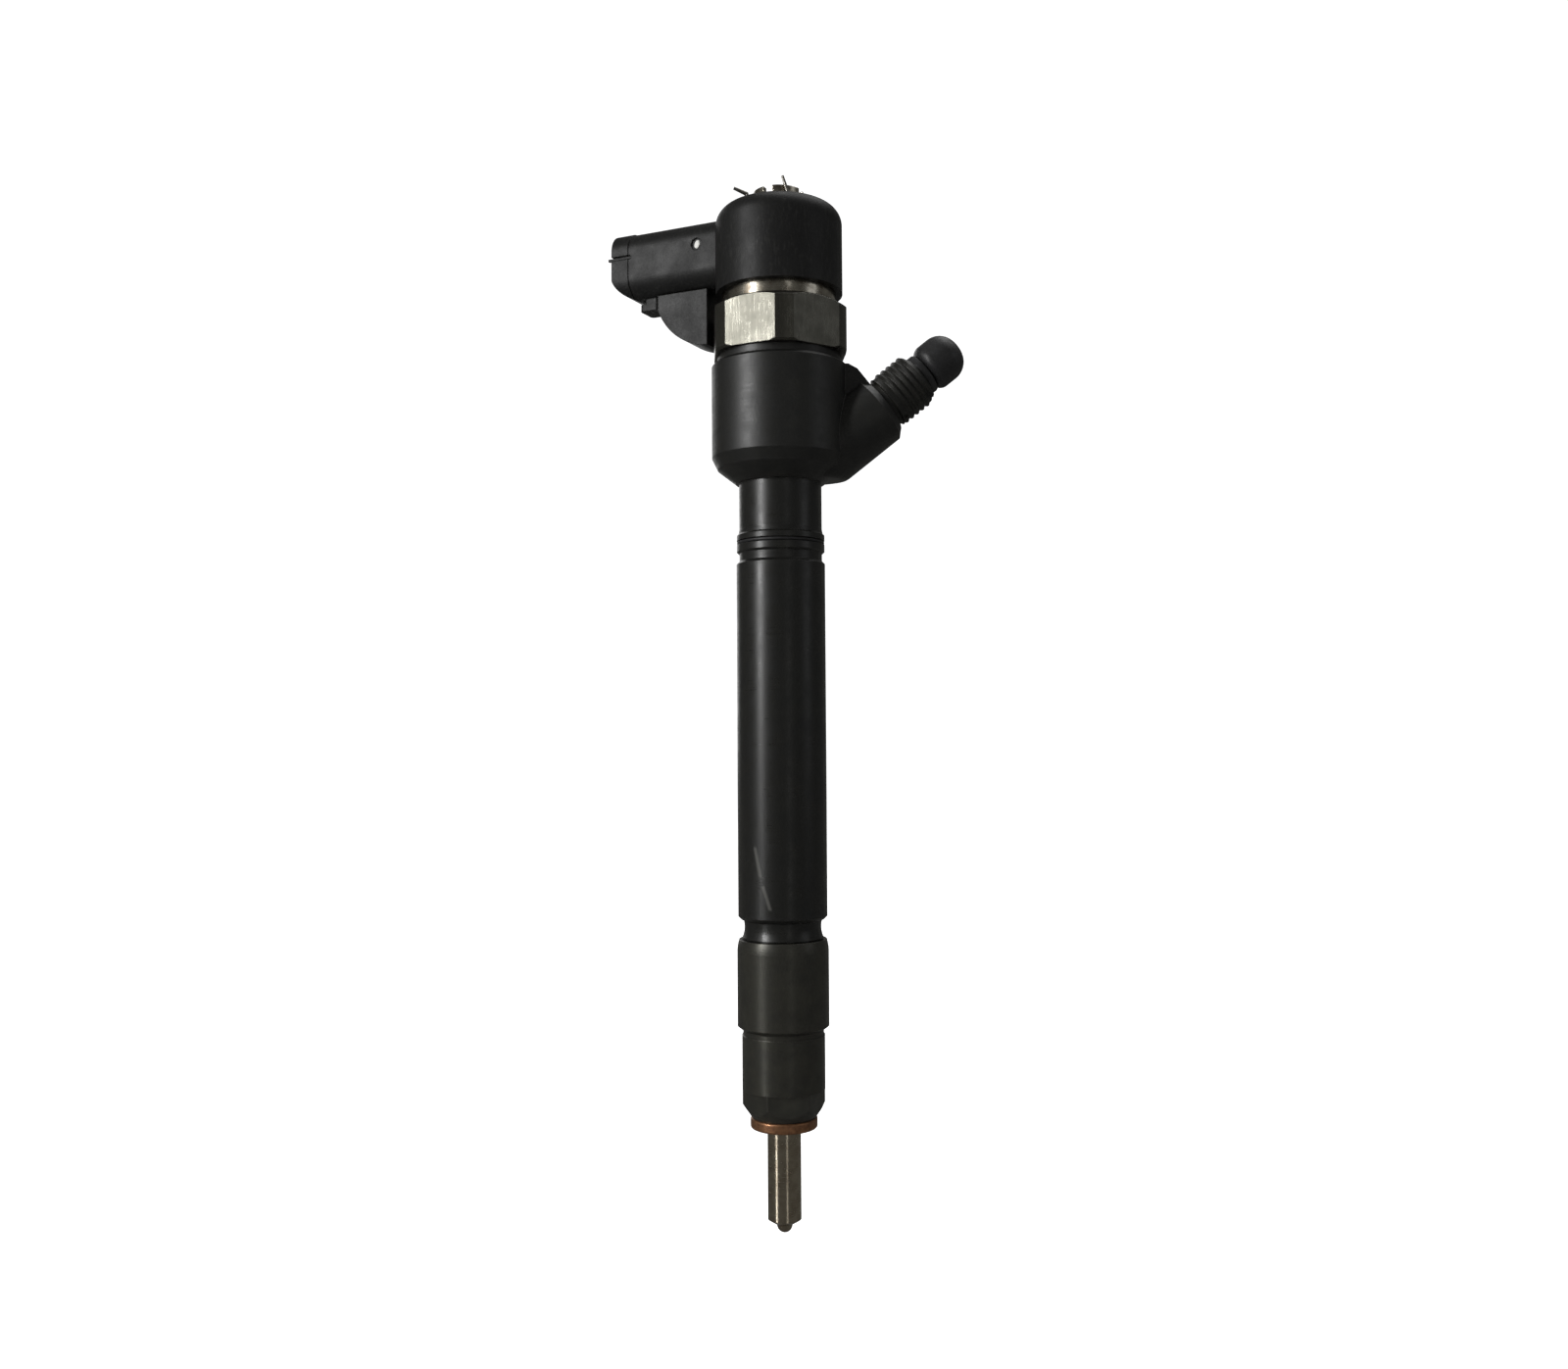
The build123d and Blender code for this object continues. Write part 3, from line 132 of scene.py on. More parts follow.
class Tree:
    """The node tree of one material."""

    def __init__(self, name: str) -> None:
        """Makes a material with a principled shader.

        Args:
            name: The material's name.
        """
        self.material = bpy.data.materials.new(name)
        self.material.use_nodes = True
        self.tree = self.material.node_tree
        self.shader = self.tree.nodes["Principled BSDF"]

    def feed(self, socket: bpy.types.NodeSocket, value: Any) -> None:
        """Links a wire to a socket, or sets the socket to a plain value.

        Args:
            socket: The input socket.
            value: A wire, a number or a tuple.
        """
        if isinstance(value, Wire):
            self.tree.links.new(value.socket, socket)
        elif socket.type == "RGBA":
            socket.default_value = (*value, 1.0)
        else:
            socket.default_value = value

    def node(self, kind: str, settings: dict[str, Any], inputs: dict[Any, Any], output: Any = 0) -> Wire:
        """Adds one node.

        Args:
            kind: The node's type name.
            settings: The node's own settings, set before its sockets.
            inputs: The value or wire of each named or numbered input socket.
            output: The name or number of the output wanted.

        Returns:
            The wanted output.
        """
        made = self.tree.nodes.new(kind)
        for key, value in settings.items():
            setattr(made, key, value)
        for key, value in inputs.items():
            self.feed(made.inputs[key], value)
        return Wire(self, made.outputs[output])

    def maths(self, operation: str, first: Value, second: Value = 0.0) -> Wire:
        """Adds one Math node.

        Args:
            operation: The operation's name.
            first: Its first value.
            second: Its second value, where it has one.

        Returns:
            The result.
        """
        return self.node("ShaderNodeMath", {"operation": operation}, {0: first, 1: second})

    def place(self) -> Wire:
        """Returns the point on the piece, in metres in the shared frame."""
        return self.node("ShaderNodeTexCoord", {}, {}, "Object")

    def axes(self, vector: Wire) -> tuple[Wire, Wire, Wire]:
        """Splits a vector.

        Args:
            vector: The vector.

        Returns:
            Its three components.
        """
        first = self.node("ShaderNodeSeparateXYZ", {}, {0: vector})
        outputs = first.socket.node.outputs
        return first, Wire(self, outputs[1]), Wire(self, outputs[2])

    def stretch(self, vector: Wire, scale: Colour, turn: Colour = (0.0, 0.0, 0.0)) -> Wire:
        """Turns and scales a vector.

        Args:
            vector: The vector.
            scale: The scale along each axis.
            turn: The turn about each axis, in radians.

        Returns:
            The new vector.
        """
        return self.node("ShaderNodeMapping", {}, {"Vector": vector, "Rotation": turn, "Scale": scale})

    def noise(self, vector: Wire, scale: float, detail: float = 3.0, rough: float = 0.55) -> Wire:
        """Adds a noise between about 0.3 and 0.7.

        Args:
            vector: Where it is read.
            scale: Spots per metre.
            detail: Octaves.
            rough: Strength of each further octave.

        Returns:
            The noise.
        """
        inputs = {"Vector": vector, "Scale": scale, "Detail": detail, "Roughness": rough}
        return self.node("ShaderNodeTexNoise", {}, inputs)

    def blend(self, factor: Value, first: Any, second: Any) -> Wire:
        """Mixes two colours.

        Args:
            factor: 0 for the first colour, 1 for the second.
            first: A colour or a wire.
            second: A colour or a wire.

        Returns:
            The mixed colour.
        """
        inputs = {0: factor, 6: first, 7: second}
        return self.node("ShaderNodeMix", {"data_type": "RGBA"}, inputs, 2)

    def soft_edges(self, radius: float) -> Wire:
        """Rounds the look of sharp edges.

        Args:
            radius: The rounding, in metres.

        Returns:
            The rounded normal.
        """
        return self.node("ShaderNodeBevel", {"samples": BEVEL_SAMPLES}, {"Radius": radius})

    def relief(self, height: Wire, depth: float, normal: Optional[Wire] = None) -> Wire:
        """Turns a height into a bumped normal.

        Args:
            height: The height, from 0 to 1.
            depth: What 1 stands for, in metres.
            normal: The normal under the bump.

        Returns:
            The bumped normal.
        """
        inputs: dict[str, Any] = {"Height": height, "Distance": depth, "Strength": 1.0}
        if normal is not None:
            inputs["Normal"] = normal
        return self.node("ShaderNodeBump", {}, inputs)

    def wear(self, radius: float, soft: Wire) -> Wire:
        """Marks the sharp edges.

        Args:
            radius: How far from an edge the mark reaches, in metres.
            soft: The rounded normal, made with the same radius.

        Returns:
            1 on the edges, 0 away from them.
        """
        sharp = self.node("ShaderNodeNewGeometry", {}, {}, "Normal")
        same = self.node("ShaderNodeVectorMath", {"operation": "DOT_PRODUCT"}, {0: sharp, 1: soft}, "Value")
        return (1.0 - same).band(0.0, WEAR_REACH + radius)


# ------------------------------------------------------------------ finishes
class Direction(Enum):
    """Which way a turned piece's axis runs."""

    UPRIGHT = "upright"
    INLET = "inlet"


@dataclass(frozen=True)
class InletLine:
    """The slanted line that the high-pressure inlet lies on."""

    root_height: float = 133.9 * MM
    azimuth: float = math.radians(25.0)
    elevation: float = math.radians(38.5)

    def direction(self) -> Vector:
        """Returns the unit vector out along the inlet."""
        level = math.cos(self.elevation)
        rise = math.sin(self.elevation)
        return Vector((level * math.cos(self.azimuth), level * math.sin(self.azimuth), rise))

    def matrix(self) -> Matrix:
        """Returns the matrix that lays a piece made along +Z on the inlet's line."""
        turn = Vector((0.0, 0.0, 1.0)).rotation_difference(self.direction()).to_matrix().to_4x4()
        return Matrix.Translation((0.0, 0.0, self.root_height)) @ turn


INLET = InletLine()


@dataclass(frozen=True)
class Scratch:
    """One light scratch on a turned piece: two ends, each a turn about the axis and a height."""

    start: tuple[float, float]
    end: tuple[float, float]
    width: float = 0.6 * MM
    core: float = 0.2               # share of the width at full strength
    radius: float = 9.375 * MM


@dataclass(frozen=True)
class Steel:
    """A metal surface: plated, phosphated or bright.

    Fields give its colours, its gloss, its cloudiness, its grain and its turning marks.
    """

    name: str
    colour: Colour
    cloud: Colour
    worn: Colour
    metallic: float = 1.0
    rough: float = 0.35
    rough_spread: float = 0.12
    cloud_scale: float = 260.0
    grain_scale: float = 5200.0
    grain_depth: float = 0.012 * MM
    ring_scale: float = 0.0
    ring_depth: float = 0.004 * MM
    brush_scale: float = 0.0
    brush_depth: float = 0.0
    edge: float = 0.18 * MM
    edge_wear: float = 0.5
    axis: Direction = Direction.UPRIGHT
    specular: float = 0.5
    wear_scale: float = 1900.0
    scratches: tuple[Scratch, ...] = ()
    scratch_strength: float = 0.55
    coarse_above: float = 0.0
    coarse_grain: float = 9.0       # extra grain above that height, in times the plain grain
    coarse_rough: float = 0.08
    turned_bands: tuple[tuple[float, float], ...] = ()
    cut_pitch: float = 0.42 * MM
    cut_strength: float = 0.9
    band_fade: float = 0.3 * MM
    grain_rough: float = 0.16
    ring_rough: float = 0.22
    brush_rough: float = 0.3
    brush_stretch: float = 0.04

    def level(self, tree: Tree, place: Wire) -> Wire:
        """Returns the distance along the piece's axis.

        Args:
            tree: The material's tree.
            place: The point on the piece.

        Returns:
            The distance in metres.
        """
        if self.axis is Direction.UPRIGHT:
            return tree.axes(place)[2]
        settings = {"operation": "DOT_PRODUCT"}
        return tree.node("ShaderNodeVectorMath", settings, {0: place, 1: tuple(INLET.direction())}, "Value")

    def scratch_mask(self, tree: Tree, place: Wire) -> Optional[Wire]:
        """Draws the scratches.

        Args:
            tree: The material's tree.
            place: The point on the piece.

        Returns:
            1 on a scratch and 0 elsewhere, or nothing where there is none.
        """
        mask = None
        across, ahead, height = tree.axes(place)
        turn = tree.maths("ARCTAN2", ahead, across)
        for scratch in self.scratches:
            (turn_a, low), (turn_b, high) = scratch.start, scratch.end
            share = (height - low) / (high - low)
            aim = share * (turn_b - turn_a) + turn_a
            off = ((turn - aim) * scratch.radius).size()
            inside = share.band(-0.02, 0.08) * share.band(1.02, 0.9)
            line = off.band(scratch.width, scratch.core * scratch.width) * inside
            mask = line if mask is None else tree.maths("MAXIMUM", mask, line)
        return mask

    def make(self) -> bpy.types.Material:
        """Builds the material.

        Returns:
            The material.
        """
        tree = Tree(self.name)
        place = tree.place()
        cloud = tree.noise(place, self.cloud_scale, 4.0, 0.6).band(0.32, 0.68)
        grain = tree.noise(place, self.grain_scale, 2.0)
        soft = tree.soft_edges(self.edge)
        patches = tree.noise(place, self.wear_scale).band(0.3, 0.62)
        edge = tree.wear(self.edge, soft) * self.edge_wear * patches
        colour = tree.blend(cloud, self.colour, self.cloud)
        rough = cloud * self.rough_spread + (self.rough - self.rough_spread / 2)
        rough = rough + (grain - 0.5) * self.grain_rough
        scratched = self.scratch_mask(tree, place) if self.scratches else None
        if scratched is not None:
            edge = tree.maths("MAXIMUM", edge, scratched * self.scratch_strength)
        colour = tree.blend(edge, colour, self.worn)
        height = grain
        along = self.level(tree, place)
        if self.coarse_above:
            coarse = along.band(self.coarse_above, self.coarse_above + MM)
            height = grain * (coarse * self.coarse_grain + 1.0)
            rough = rough + coarse * self.coarse_rough
        for low, high in self.turned_bands:
            inside = along.band(low, low + self.band_fade) * along.band(high, high - self.band_fade)
            cuts = tree.maths("SINE", along * (2.0 * math.pi / self.cut_pitch))
            height = height + inside * cuts * self.cut_strength
        normal = tree.relief(height, self.grain_depth, soft)
        if self.ring_scale:
            comb = tree.node("ShaderNodeCombineXYZ", {}, {2: along})
            rings = tree.noise(comb, self.ring_scale, 2.0, 0.7)
            normal = tree.relief(rings, self.ring_depth, normal)
            rough = rough + (rings - 0.5) * self.ring_rough
        if self.brush_scale:
            lines = tree.stretch(place, (1.0, 1.0, self.brush_stretch))
            brushed = tree.noise(lines, self.brush_scale, 3.0, 0.65)
            normal = tree.relief(brushed, self.brush_depth, normal)
            rough = rough + (brushed - 0.5) * self.brush_rough
        shader = tree.shader.inputs
        tree.feed(shader["Base Color"], colour)
        tree.feed(shader["Roughness"], rough)
        tree.feed(shader["Normal"], normal)
        shader["Metallic"].default_value = self.metallic
        shader["Specular IOR Level"].default_value = self.specular
        return tree.material


@dataclass(frozen=True)
class Moulding:
    """A moulded plastic or rubber surface."""

    name: str
    colour: Colour
    cloud: Colour
    rough: float = 0.45
    rough_spread: float = 0.1
    cloud_scale: float = 180.0
    grain_scale: float = 2600.0
    grain_depth: float = 0.02 * MM
    grain_rough: float = 0.14
    fibre: float = 0.0
    fibre_scale: float = 1500.0
    fibre_stretch: float = 0.25
    fibre_height: float = 0.4
    edge: float = 0.25 * MM
    specular: float = 0.4
    worn: Colour = (0.12, 0.12, 0.12)
    edge_wear: float = 0.15

    def make(self) -> bpy.types.Material:
        """Builds the material.

        Returns:
            The material.
        """
        tree = Tree(self.name)
        place = tree.place()
        cloud = tree.noise(place, self.cloud_scale, 4.0, 0.6).band(0.3, 0.7)
        grain = tree.noise(place, self.grain_scale, 3.0, 0.6)
        soft = tree.soft_edges(self.edge)
        edge = tree.wear(self.edge, soft) * self.edge_wear
        colour = tree.blend(cloud, self.colour, self.cloud)
        rough = cloud * self.rough_spread + (self.rough - self.rough_spread / 2)
        rough = rough + (grain - 0.5) * self.grain_rough
        height = grain
        if self.fibre:
            drawn = tree.stretch(place, (1.0, 1.0, self.fibre_stretch))
            fibres = tree.noise(drawn, self.fibre_scale, 3.0, 0.7).band(0.52, 0.66)
            colour = tree.blend(fibres * self.fibre, colour, self.worn)
            height = grain + fibres * self.fibre_height
        colour = tree.blend(edge, colour, self.worn)
        shader = tree.shader.inputs
        tree.feed(shader["Base Color"], colour)
        tree.feed(shader["Roughness"], rough)
        tree.feed(shader["Normal"], tree.relief(height, self.grain_depth, soft))
        shader["Specular IOR Level"].default_value = self.specular
        return tree.material


STEM_SCRATCHES = (
    Scratch((math.radians(-102.5), 58.8 * MM), (math.radians(-93.5), 52.2 * MM)),
    Scratch((math.radians(-91.0), 50.9 * MM), (math.radians(-80.5), 45.7 * MM)),
)

PHOSPHATE = Steel(
    "phosphated_body", (0.0105, 0.0105, 0.0092), (0.0072, 0.0074, 0.0068), (0.11, 0.108, 0.1),
    metallic=0.0, rough=0.34, rough_spread=0.08, grain_depth=0.002 * MM, ring_scale=1500.0,
    ring_depth=0.001 * MM, edge_wear=0.25, specular=0.4, scratches=STEM_SCRATCHES,
    coarse_above=134.9 * MM, turned_bands=((103.3 * MM, 106.0 * MM),),
)
NUT_OLIVE = Steel(
    "satin_nozzle_nut", (0.05, 0.049, 0.04), (0.038, 0.0375, 0.032), (0.2, 0.195, 0.17),
    metallic=0.6, rough=0.36, rough_spread=0.06, grain_depth=0.004 * MM, ring_scale=2600.0,
    ring_depth=0.003 * MM, edge_wear=0.3,
    turned_bands=((36.2 * MM, 38.4 * MM), (21.4 * MM, 23.4 * MM), (15.6 * MM, 18.6 * MM)),
)
HEX_OLIVE = Steel(
    "brushed_solenoid_nut", (0.086, 0.083, 0.07), (0.068, 0.066, 0.055), (0.36, 0.35, 0.32),
    metallic=0.9, rough=0.31, rough_spread=0.05, brush_scale=5200.0, brush_depth=0.012 * MM,
    edge=0.22 * MM, edge_wear=0.6,
)
INLET_OLIVE = Steel(
    "oiled_inlet_thread", (0.015, 0.0148, 0.0118), (0.009, 0.009, 0.0078), (0.05, 0.048, 0.042),
    metallic=0.3, rough=0.5, axis=Direction.INLET, ring_scale=1800.0, edge=0.08 * MM, edge_wear=0.5,
)
BRIGHT = Steel(
    "polished_steel", (0.52, 0.46, 0.36), (0.38, 0.32, 0.24), (0.85, 0.83, 0.78),
    rough=0.22, rough_spread=0.04, cloud_scale=420.0, grain_depth=0.0004 * MM, ring_scale=3200.0,
    ring_depth=0.0001 * MM, edge_wear=0.3,
)
SLEEVE_STEEL = Steel(
    "warm_sleeve_steel", (0.5, 0.47, 0.4), (0.12, 0.1, 0.075), (0.85, 0.83, 0.78),
    rough=0.24, rough_spread=0.16, cloud_scale=330.0, ring_scale=2400.0, ring_depth=0.004 * MM,
)
PLAIN_STEEL = Steel(
    "ground_steel", (0.42, 0.41, 0.39), (0.3, 0.295, 0.28), (0.7, 0.69, 0.66), rough=0.34,
    ring_scale=2600.0,
)
SPRING_STEEL = Steel(
    "spring_wire", (0.3, 0.29, 0.27), (0.2, 0.19, 0.17), (0.6, 0.58, 0.54), rough=0.3, edge=0.04 * MM,
)
COPPER = Steel(
    "annealed_copper", (0.34, 0.17, 0.085), (0.19, 0.092, 0.048), (0.6, 0.36, 0.2),
    metallic=0.8, rough=0.42, cloud_scale=700.0, grain_depth=0.014 * MM, ring_scale=900.0,
)
TINNED = Steel(
    "tinned_blade", (0.6, 0.6, 0.58), (0.45, 0.45, 0.43), (0.85, 0.85, 0.82), rough=0.3, edge=0.08 * MM,
)
CAP_BLACK = Moulding(
    "glass_filled_cap", (0.0115, 0.0115, 0.0112), (0.0085, 0.0085, 0.0085), rough=0.46, fibre=0.12,
    grain_depth=0.02 * MM, worn=(0.06, 0.06, 0.056), specular=0.18,
)
BOBBIN = Moulding("bobbin_moulding", (0.05, 0.045, 0.035), (0.035, 0.03, 0.026))
RUBBER = Moulding(
    "plug_rubber", (0.0115, 0.0115, 0.012), (0.008, 0.008, 0.009), rough=0.5, rough_spread=0.25,
    cloud_scale=420.0, grain_depth=0.05 * MM, specular=0.45,
)
# Off-white dot beside the connector's root: a painted highlight that stands in for the glint of light in a
# small moulded recess.
PAINTED_HIGHLIGHT = Moulding(
    "painted_highlight_finish", (0.8, 0.8, 0.77), (0.68, 0.67, 0.63), rough=0.5, edge=0.05 * MM, worn=(0.4, 0.4, 0.38),
)


# ------------------------------------------------------------------ shared modelling helpers
def finish_mesh(
    name: str, mesh: bmesh.types.BMesh, material: bpy.types.Material, body: str,
    sharp: float = 32.0,
) -> bpy.types.Object:
    """Turns a bmesh into a finished piece that rides on a body.

    Args:
        name: The piece's name.
        mesh: The shape, in the shared frame. It is freed.
        material: The piece's finish.
        body: The CAD body that it moves with.
        sharp: Edges that turn more than this many degrees stay sharp.

    Returns:
        The piece.
    """
    bmesh.ops.remove_doubles(mesh, verts=mesh.verts, dist=MERGE_DISTANCE)
    bmesh.ops.recalc_face_normals(mesh, faces=mesh.faces)
    for face in mesh.faces:
        face.smooth = True
    for edge in mesh.edges:
        if len(edge.link_faces) == 2 and edge.calc_face_angle(0.0) > math.radians(sharp):
            edge.smooth = False
    data = bpy.data.meshes.new(name)
    mesh.to_mesh(data)
    mesh.free()
    data.materials.append(material)
    piece = bpy.data.objects.new(name, data)
    bpy.context.scene.collection.objects.link(piece)
    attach(piece, body)
    return piece


def lathe(mesh: bmesh.types.BMesh, profile: list[tuple[float, float]], steps: int) -> None:
    """Spins a profile once round +Z.

    Args:
        mesh: The bmesh that takes it.
        profile: Points of the profile, each a radius and a height in millimetres.
        steps: Divisions of the full turn.
    """
    points = [mesh.verts.new((radius * MM, 0.0, height * MM)) for radius, height in profile]
    edges = [mesh.edges.new(pair) for pair in zip(points, points[1:])]
    bmesh.ops.spin(
        mesh, geom=points + edges, cent=(0, 0, 0), axis=(0, 0, 1), angle=2 * math.pi,
        steps=steps, use_merge=True,
    )


# ------------------------------------------------------------------ sub-assemblies
@dataclass
class NozzleEnd:
    """The nozzle, its nut and the sealing washer."""

    def build(self) -> list[bpy.types.Object]:
        """Returns no new pieces, because the CAD shapes stay."""
        return []

    def dress(self, nodes: dict[str, bpy.types.Object]) -> None:
        """Gives the nozzle end's CAD nodes their finishes.

        Args:
            nodes: The frame's CAD nodes.
        """
        paint(nodes, BRIGHT, "nozzle_body", "nozzle_needle")
        paint(nodes, NUT_OLIVE, "nozzle_nut")
        paint(nodes, COPPER, "sealing_washer")
        paint(nodes, PLAIN_STEEL, "nozzle_dowels")


@dataclass
class Barrel:
    """The long body and the parts that run inside it."""

    def build(self) -> list[bpy.types.Object]:
        """Returns no new pieces, because the CAD shapes stay."""
        return []

    def dress(self, nodes: dict[str, bpy.types.Object]) -> None:
        """Gives the barrel's CAD nodes their finishes.

        Args:
            nodes: The frame's CAD nodes.
        """
        paint(nodes, PHOSPHATE, "injector_body")
        paint(nodes, RUBBER, "stem_o_ring", "head_o_ring")
        paint(nodes, SPRING_STEEL, "nozzle_spring", "armature_spring", "solenoid_spring", "return_clip")
        paint(
            nodes, PLAIN_STEEL, "thrust_pin", "control_piston", "spring_shim", "valve_seal_ring",
            "valve_body", "valve_clamping_screw", "ball_holder", "armature_guide", "armature_pin",
            "armature_plate", "armature_retainer", "lift_shim", "magnet_core", "spring_seat",
        )
        paint(nodes, BRIGHT, "valve_ball")


@dataclass
class InletBranch:
    """The screwed-in inlet neck with its real thread, and the rubber dust plug."""

    body: str = "injector"
    plug_body: str = "dust_plug"
    socket_floor: float = 20.0
    boss_end: float = 28.0
    spigot_radius: float = 5.0
    undercut_radius: float = 5.3
    undercut_length: float = 1.3
    crest_radius: float = 6.0
    root_radius: float = 5.6
    thread_length: float = 7.6
    pitch: float = 1.5
    lead_share: float = 0.93        # the winding stops short of the thread's full length
    turns: int = 5
    core_sink: float = 0.25         # of the tooth's foot under the root
    tooth_inset: float = 0.1
    tip_radius: float = 4.8
    tip_length: float = 1.0
    mouth_radius: float = 3.0
    mouth_depth: float = 4.5
    bore_radius: float = 2.0
    passage_radius: float = 1.5
    cone_depth: float = 1.0
    filter_seat_rise: float = 1.0
    plug_stem_length: float = 3.5
    plug_stem_radius: float = 2.95
    plug_skirt_radius: float = 4.5
    plug_neck_length: float = 1.6
    plug_knob_radius: float = 5.1
    plug_near_round: float = 2.0
    plug_near_angle: float = -78.0
    plug_far_round: float = 4.2
    plug_length: float = 10.3
    round_steps: int = 10
    steps: int = 72

    def thread_start(self) -> float:
        """Returns where the thread starts, along the inlet."""
        return self.boss_end + self.undercut_length

    def inlet_end(self) -> float:
        """Returns the neck's outer end, along the inlet."""
        return self.thread_start() + self.thread_length + self.tip_length

    def thread(self, mesh: bmesh.types.BMesh) -> None:
        """Winds the screw thread as a helical spin of one tooth.

        Args:
            mesh: The bmesh that takes it, with its axis along +Z.
        """
        core = self.root_radius - self.core_sink
        tooth = [
            (core, 0.02), (self.root_radius, 0.09), (self.crest_radius, 0.56), (self.crest_radius, 0.78),
            (self.root_radius, 1.25), (core, 1.32),
        ]
        low = self.thread_start() + self.tooth_inset
        points = [mesh.verts.new((radius * MM, 0.0, (low + height) * MM)) for radius, height in tooth]
        face = mesh.faces.new(points)
        count = self.turns * self.steps
        lead = self.lead_share * self.pitch * MM / self.steps
        bmesh.ops.spin(
            mesh, geom=[face, *face.edges, *face.verts], cent=(0, 0, 0), axis=(0, 0, 1),
            dvec=(0, 0, lead), angle=2 * math.pi * self.turns, steps=count, use_merge=False,
        )

    def neck(self, mesh: bmesh.types.BMesh) -> None:
        """Turns the neck: spigot, undercut, thread core, tip and bore.

        Args:
            mesh: The bmesh that takes it, with its axis along +Z.
        """
        start = self.thread_start()
        end = self.inlet_end()
        mouth = end - self.mouth_depth
        section = [
            (self.passage_radius, self.socket_floor), (self.spigot_radius - 0.2, self.socket_floor),
            (self.spigot_radius, self.socket_floor + 0.2), (self.spigot_radius, self.boss_end),
            (self.undercut_radius, self.boss_end), (self.undercut_radius, start - 0.25),
            (self.root_radius + 0.2, start), (self.root_radius, start + 0.4),
            (self.root_radius, end - self.tip_length - 0.3),
            (self.root_radius - 0.05, end - self.tip_length),
            (self.tip_radius, end - 0.3), (self.tip_radius - 0.25, end),
            (self.mouth_radius + 0.2, end), (self.mouth_radius, end - 0.2), (self.mouth_radius, mouth),
            (self.bore_radius, mouth - self.cone_depth),
            (self.bore_radius, self.socket_floor + self.filter_seat_rise),
            (self.passage_radius, self.socket_floor + self.filter_seat_rise),
            (self.passage_radius, self.socket_floor),
        ]
        lathe(mesh, section, self.steps)

    def build(self) -> list[bpy.types.Object]:
        """Builds the threaded neck and the plug in place of the plain ones.

        Returns:
            The new pieces.
        """
        mesh = bmesh.new()
        self.neck(mesh)
        self.thread(mesh)
        bmesh.ops.transform(mesh, matrix=INLET.matrix(), verts=mesh.verts)
        neck = finish_mesh("threaded_inlet_neck", mesh, INLET_OLIVE.make(), self.body)
        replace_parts(neck, "inlet_neck")
        return [neck, self.plug()]

    def plug(self) -> bpy.types.Object:
        """Builds the rubber dust plug: stem, skirt and round knob.

        Returns:
            The plug.
        """
        end = self.inlet_end()
        stem_low = end - self.plug_stem_length
        neck = end + self.plug_neck_length
        profile = [
            (0.0, stem_low), (self.plug_stem_radius - 0.3, stem_low),
            (self.plug_stem_radius, stem_low + 0.3), (self.plug_stem_radius, end),
            (self.plug_skirt_radius - 0.15, end), (self.plug_skirt_radius, end + 0.15),
            (self.plug_skirt_radius, neck - 0.35), (self.plug_skirt_radius - 0.12, neck - 0.1),
        ]
        for round_centre, radius, first, last in (
            (neck + self.plug_near_round, self.plug_near_round, self.plug_near_angle, 0.0),
            (end + self.plug_length - self.plug_far_round, self.plug_far_round, 0.0, 90.0),
        ):
            for step in range(self.round_steps + 1):
                turn = math.radians(first + (last - first) * step / self.round_steps)
                across = self.plug_knob_radius - radius + radius * math.cos(turn)
                profile.append((across, round_centre + radius * math.sin(turn)))
        profile.append((0.0, end + self.plug_length))
        mesh = bmesh.new()
        lathe(mesh, profile, self.steps)
        bmesh.ops.transform(mesh, matrix=INLET.matrix(), verts=mesh.verts)
        plug = finish_mesh("dust_plug_rubber", mesh, RUBBER.make(), self.plug_body)
        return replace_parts(plug, "inlet_dust_plug")

    def dress(self, nodes: dict[str, bpy.types.Object]) -> None:
        """Gives the filter inside the neck its finish.

        Args:
            nodes: The frame's CAD nodes.
        """
        paint(nodes, PLAIN_STEEL, "edge_filter")


@dataclass
class SolenoidHead:
    """The solenoid nut, the bright sleeve, the moulded cap and its connector."""

    body: str = "injector"
    # Place, size and lean of the off-white dot, a painted highlight.
    mark_inward: float = 22.2
    mark_side: float = -5.88
    mark_drop: float = 7.0
    mark_size: tuple[float, float] = (0.62, 0.9)
    mark_thickness: float = 0.16
    mark_lean: float = 16.0

    def build(self) -> list[bpy.types.Object]:
        """Builds the small off-white dot beside the connector's root: a painted highlight that stands in for
        the glint of light in a moulded recess.

        Returns:
            The new pieces.
        """
        mesh = bmesh.new()
        bmesh.ops.create_uvsphere(mesh, u_segments=28, v_segments=14, radius=1.0)
        across, tall = self.mark_size
        scale = Matrix.Diagonal((across * MM, self.mark_thickness * MM, tall * MM, 1.0))
        low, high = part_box("solenoid_cap")
        place = Matrix.Translation((
            low[0] + self.mark_inward * MM, self.mark_side * MM, high[2] - self.mark_drop * MM,
        ))
        lean = Matrix.Rotation(math.radians(self.mark_lean), 4, "Y")
        bmesh.ops.transform(mesh, matrix=place @ lean @ scale, verts=mesh.verts)
        # The off-white dot is a painted highlight of the glint in a moulded recess.
        return [finish_mesh("painted_highlight_dot", mesh, PAINTED_HIGHLIGHT.make(), self.body)]

    def dress(self, nodes: dict[str, bpy.types.Object]) -> None:
        """Gives the head's CAD nodes their finishes.

        Args:
            nodes: The frame's CAD nodes.
        """
        paint(nodes, HEX_OLIVE, "solenoid_nut")
        paint(nodes, SLEEVE_STEEL, "magnet_sleeve", "return_port_sleeve")
        paint(nodes, CAP_BLACK, "solenoid_cap")
        paint(nodes, BOBBIN, "coil_bobbin")
        paint(nodes, COPPER, "coil_winding")
        paint(nodes, TINNED, "terminals")


# Materials already made, by the name of their finish.
_made: dict[str, bpy.types.Material] = {}


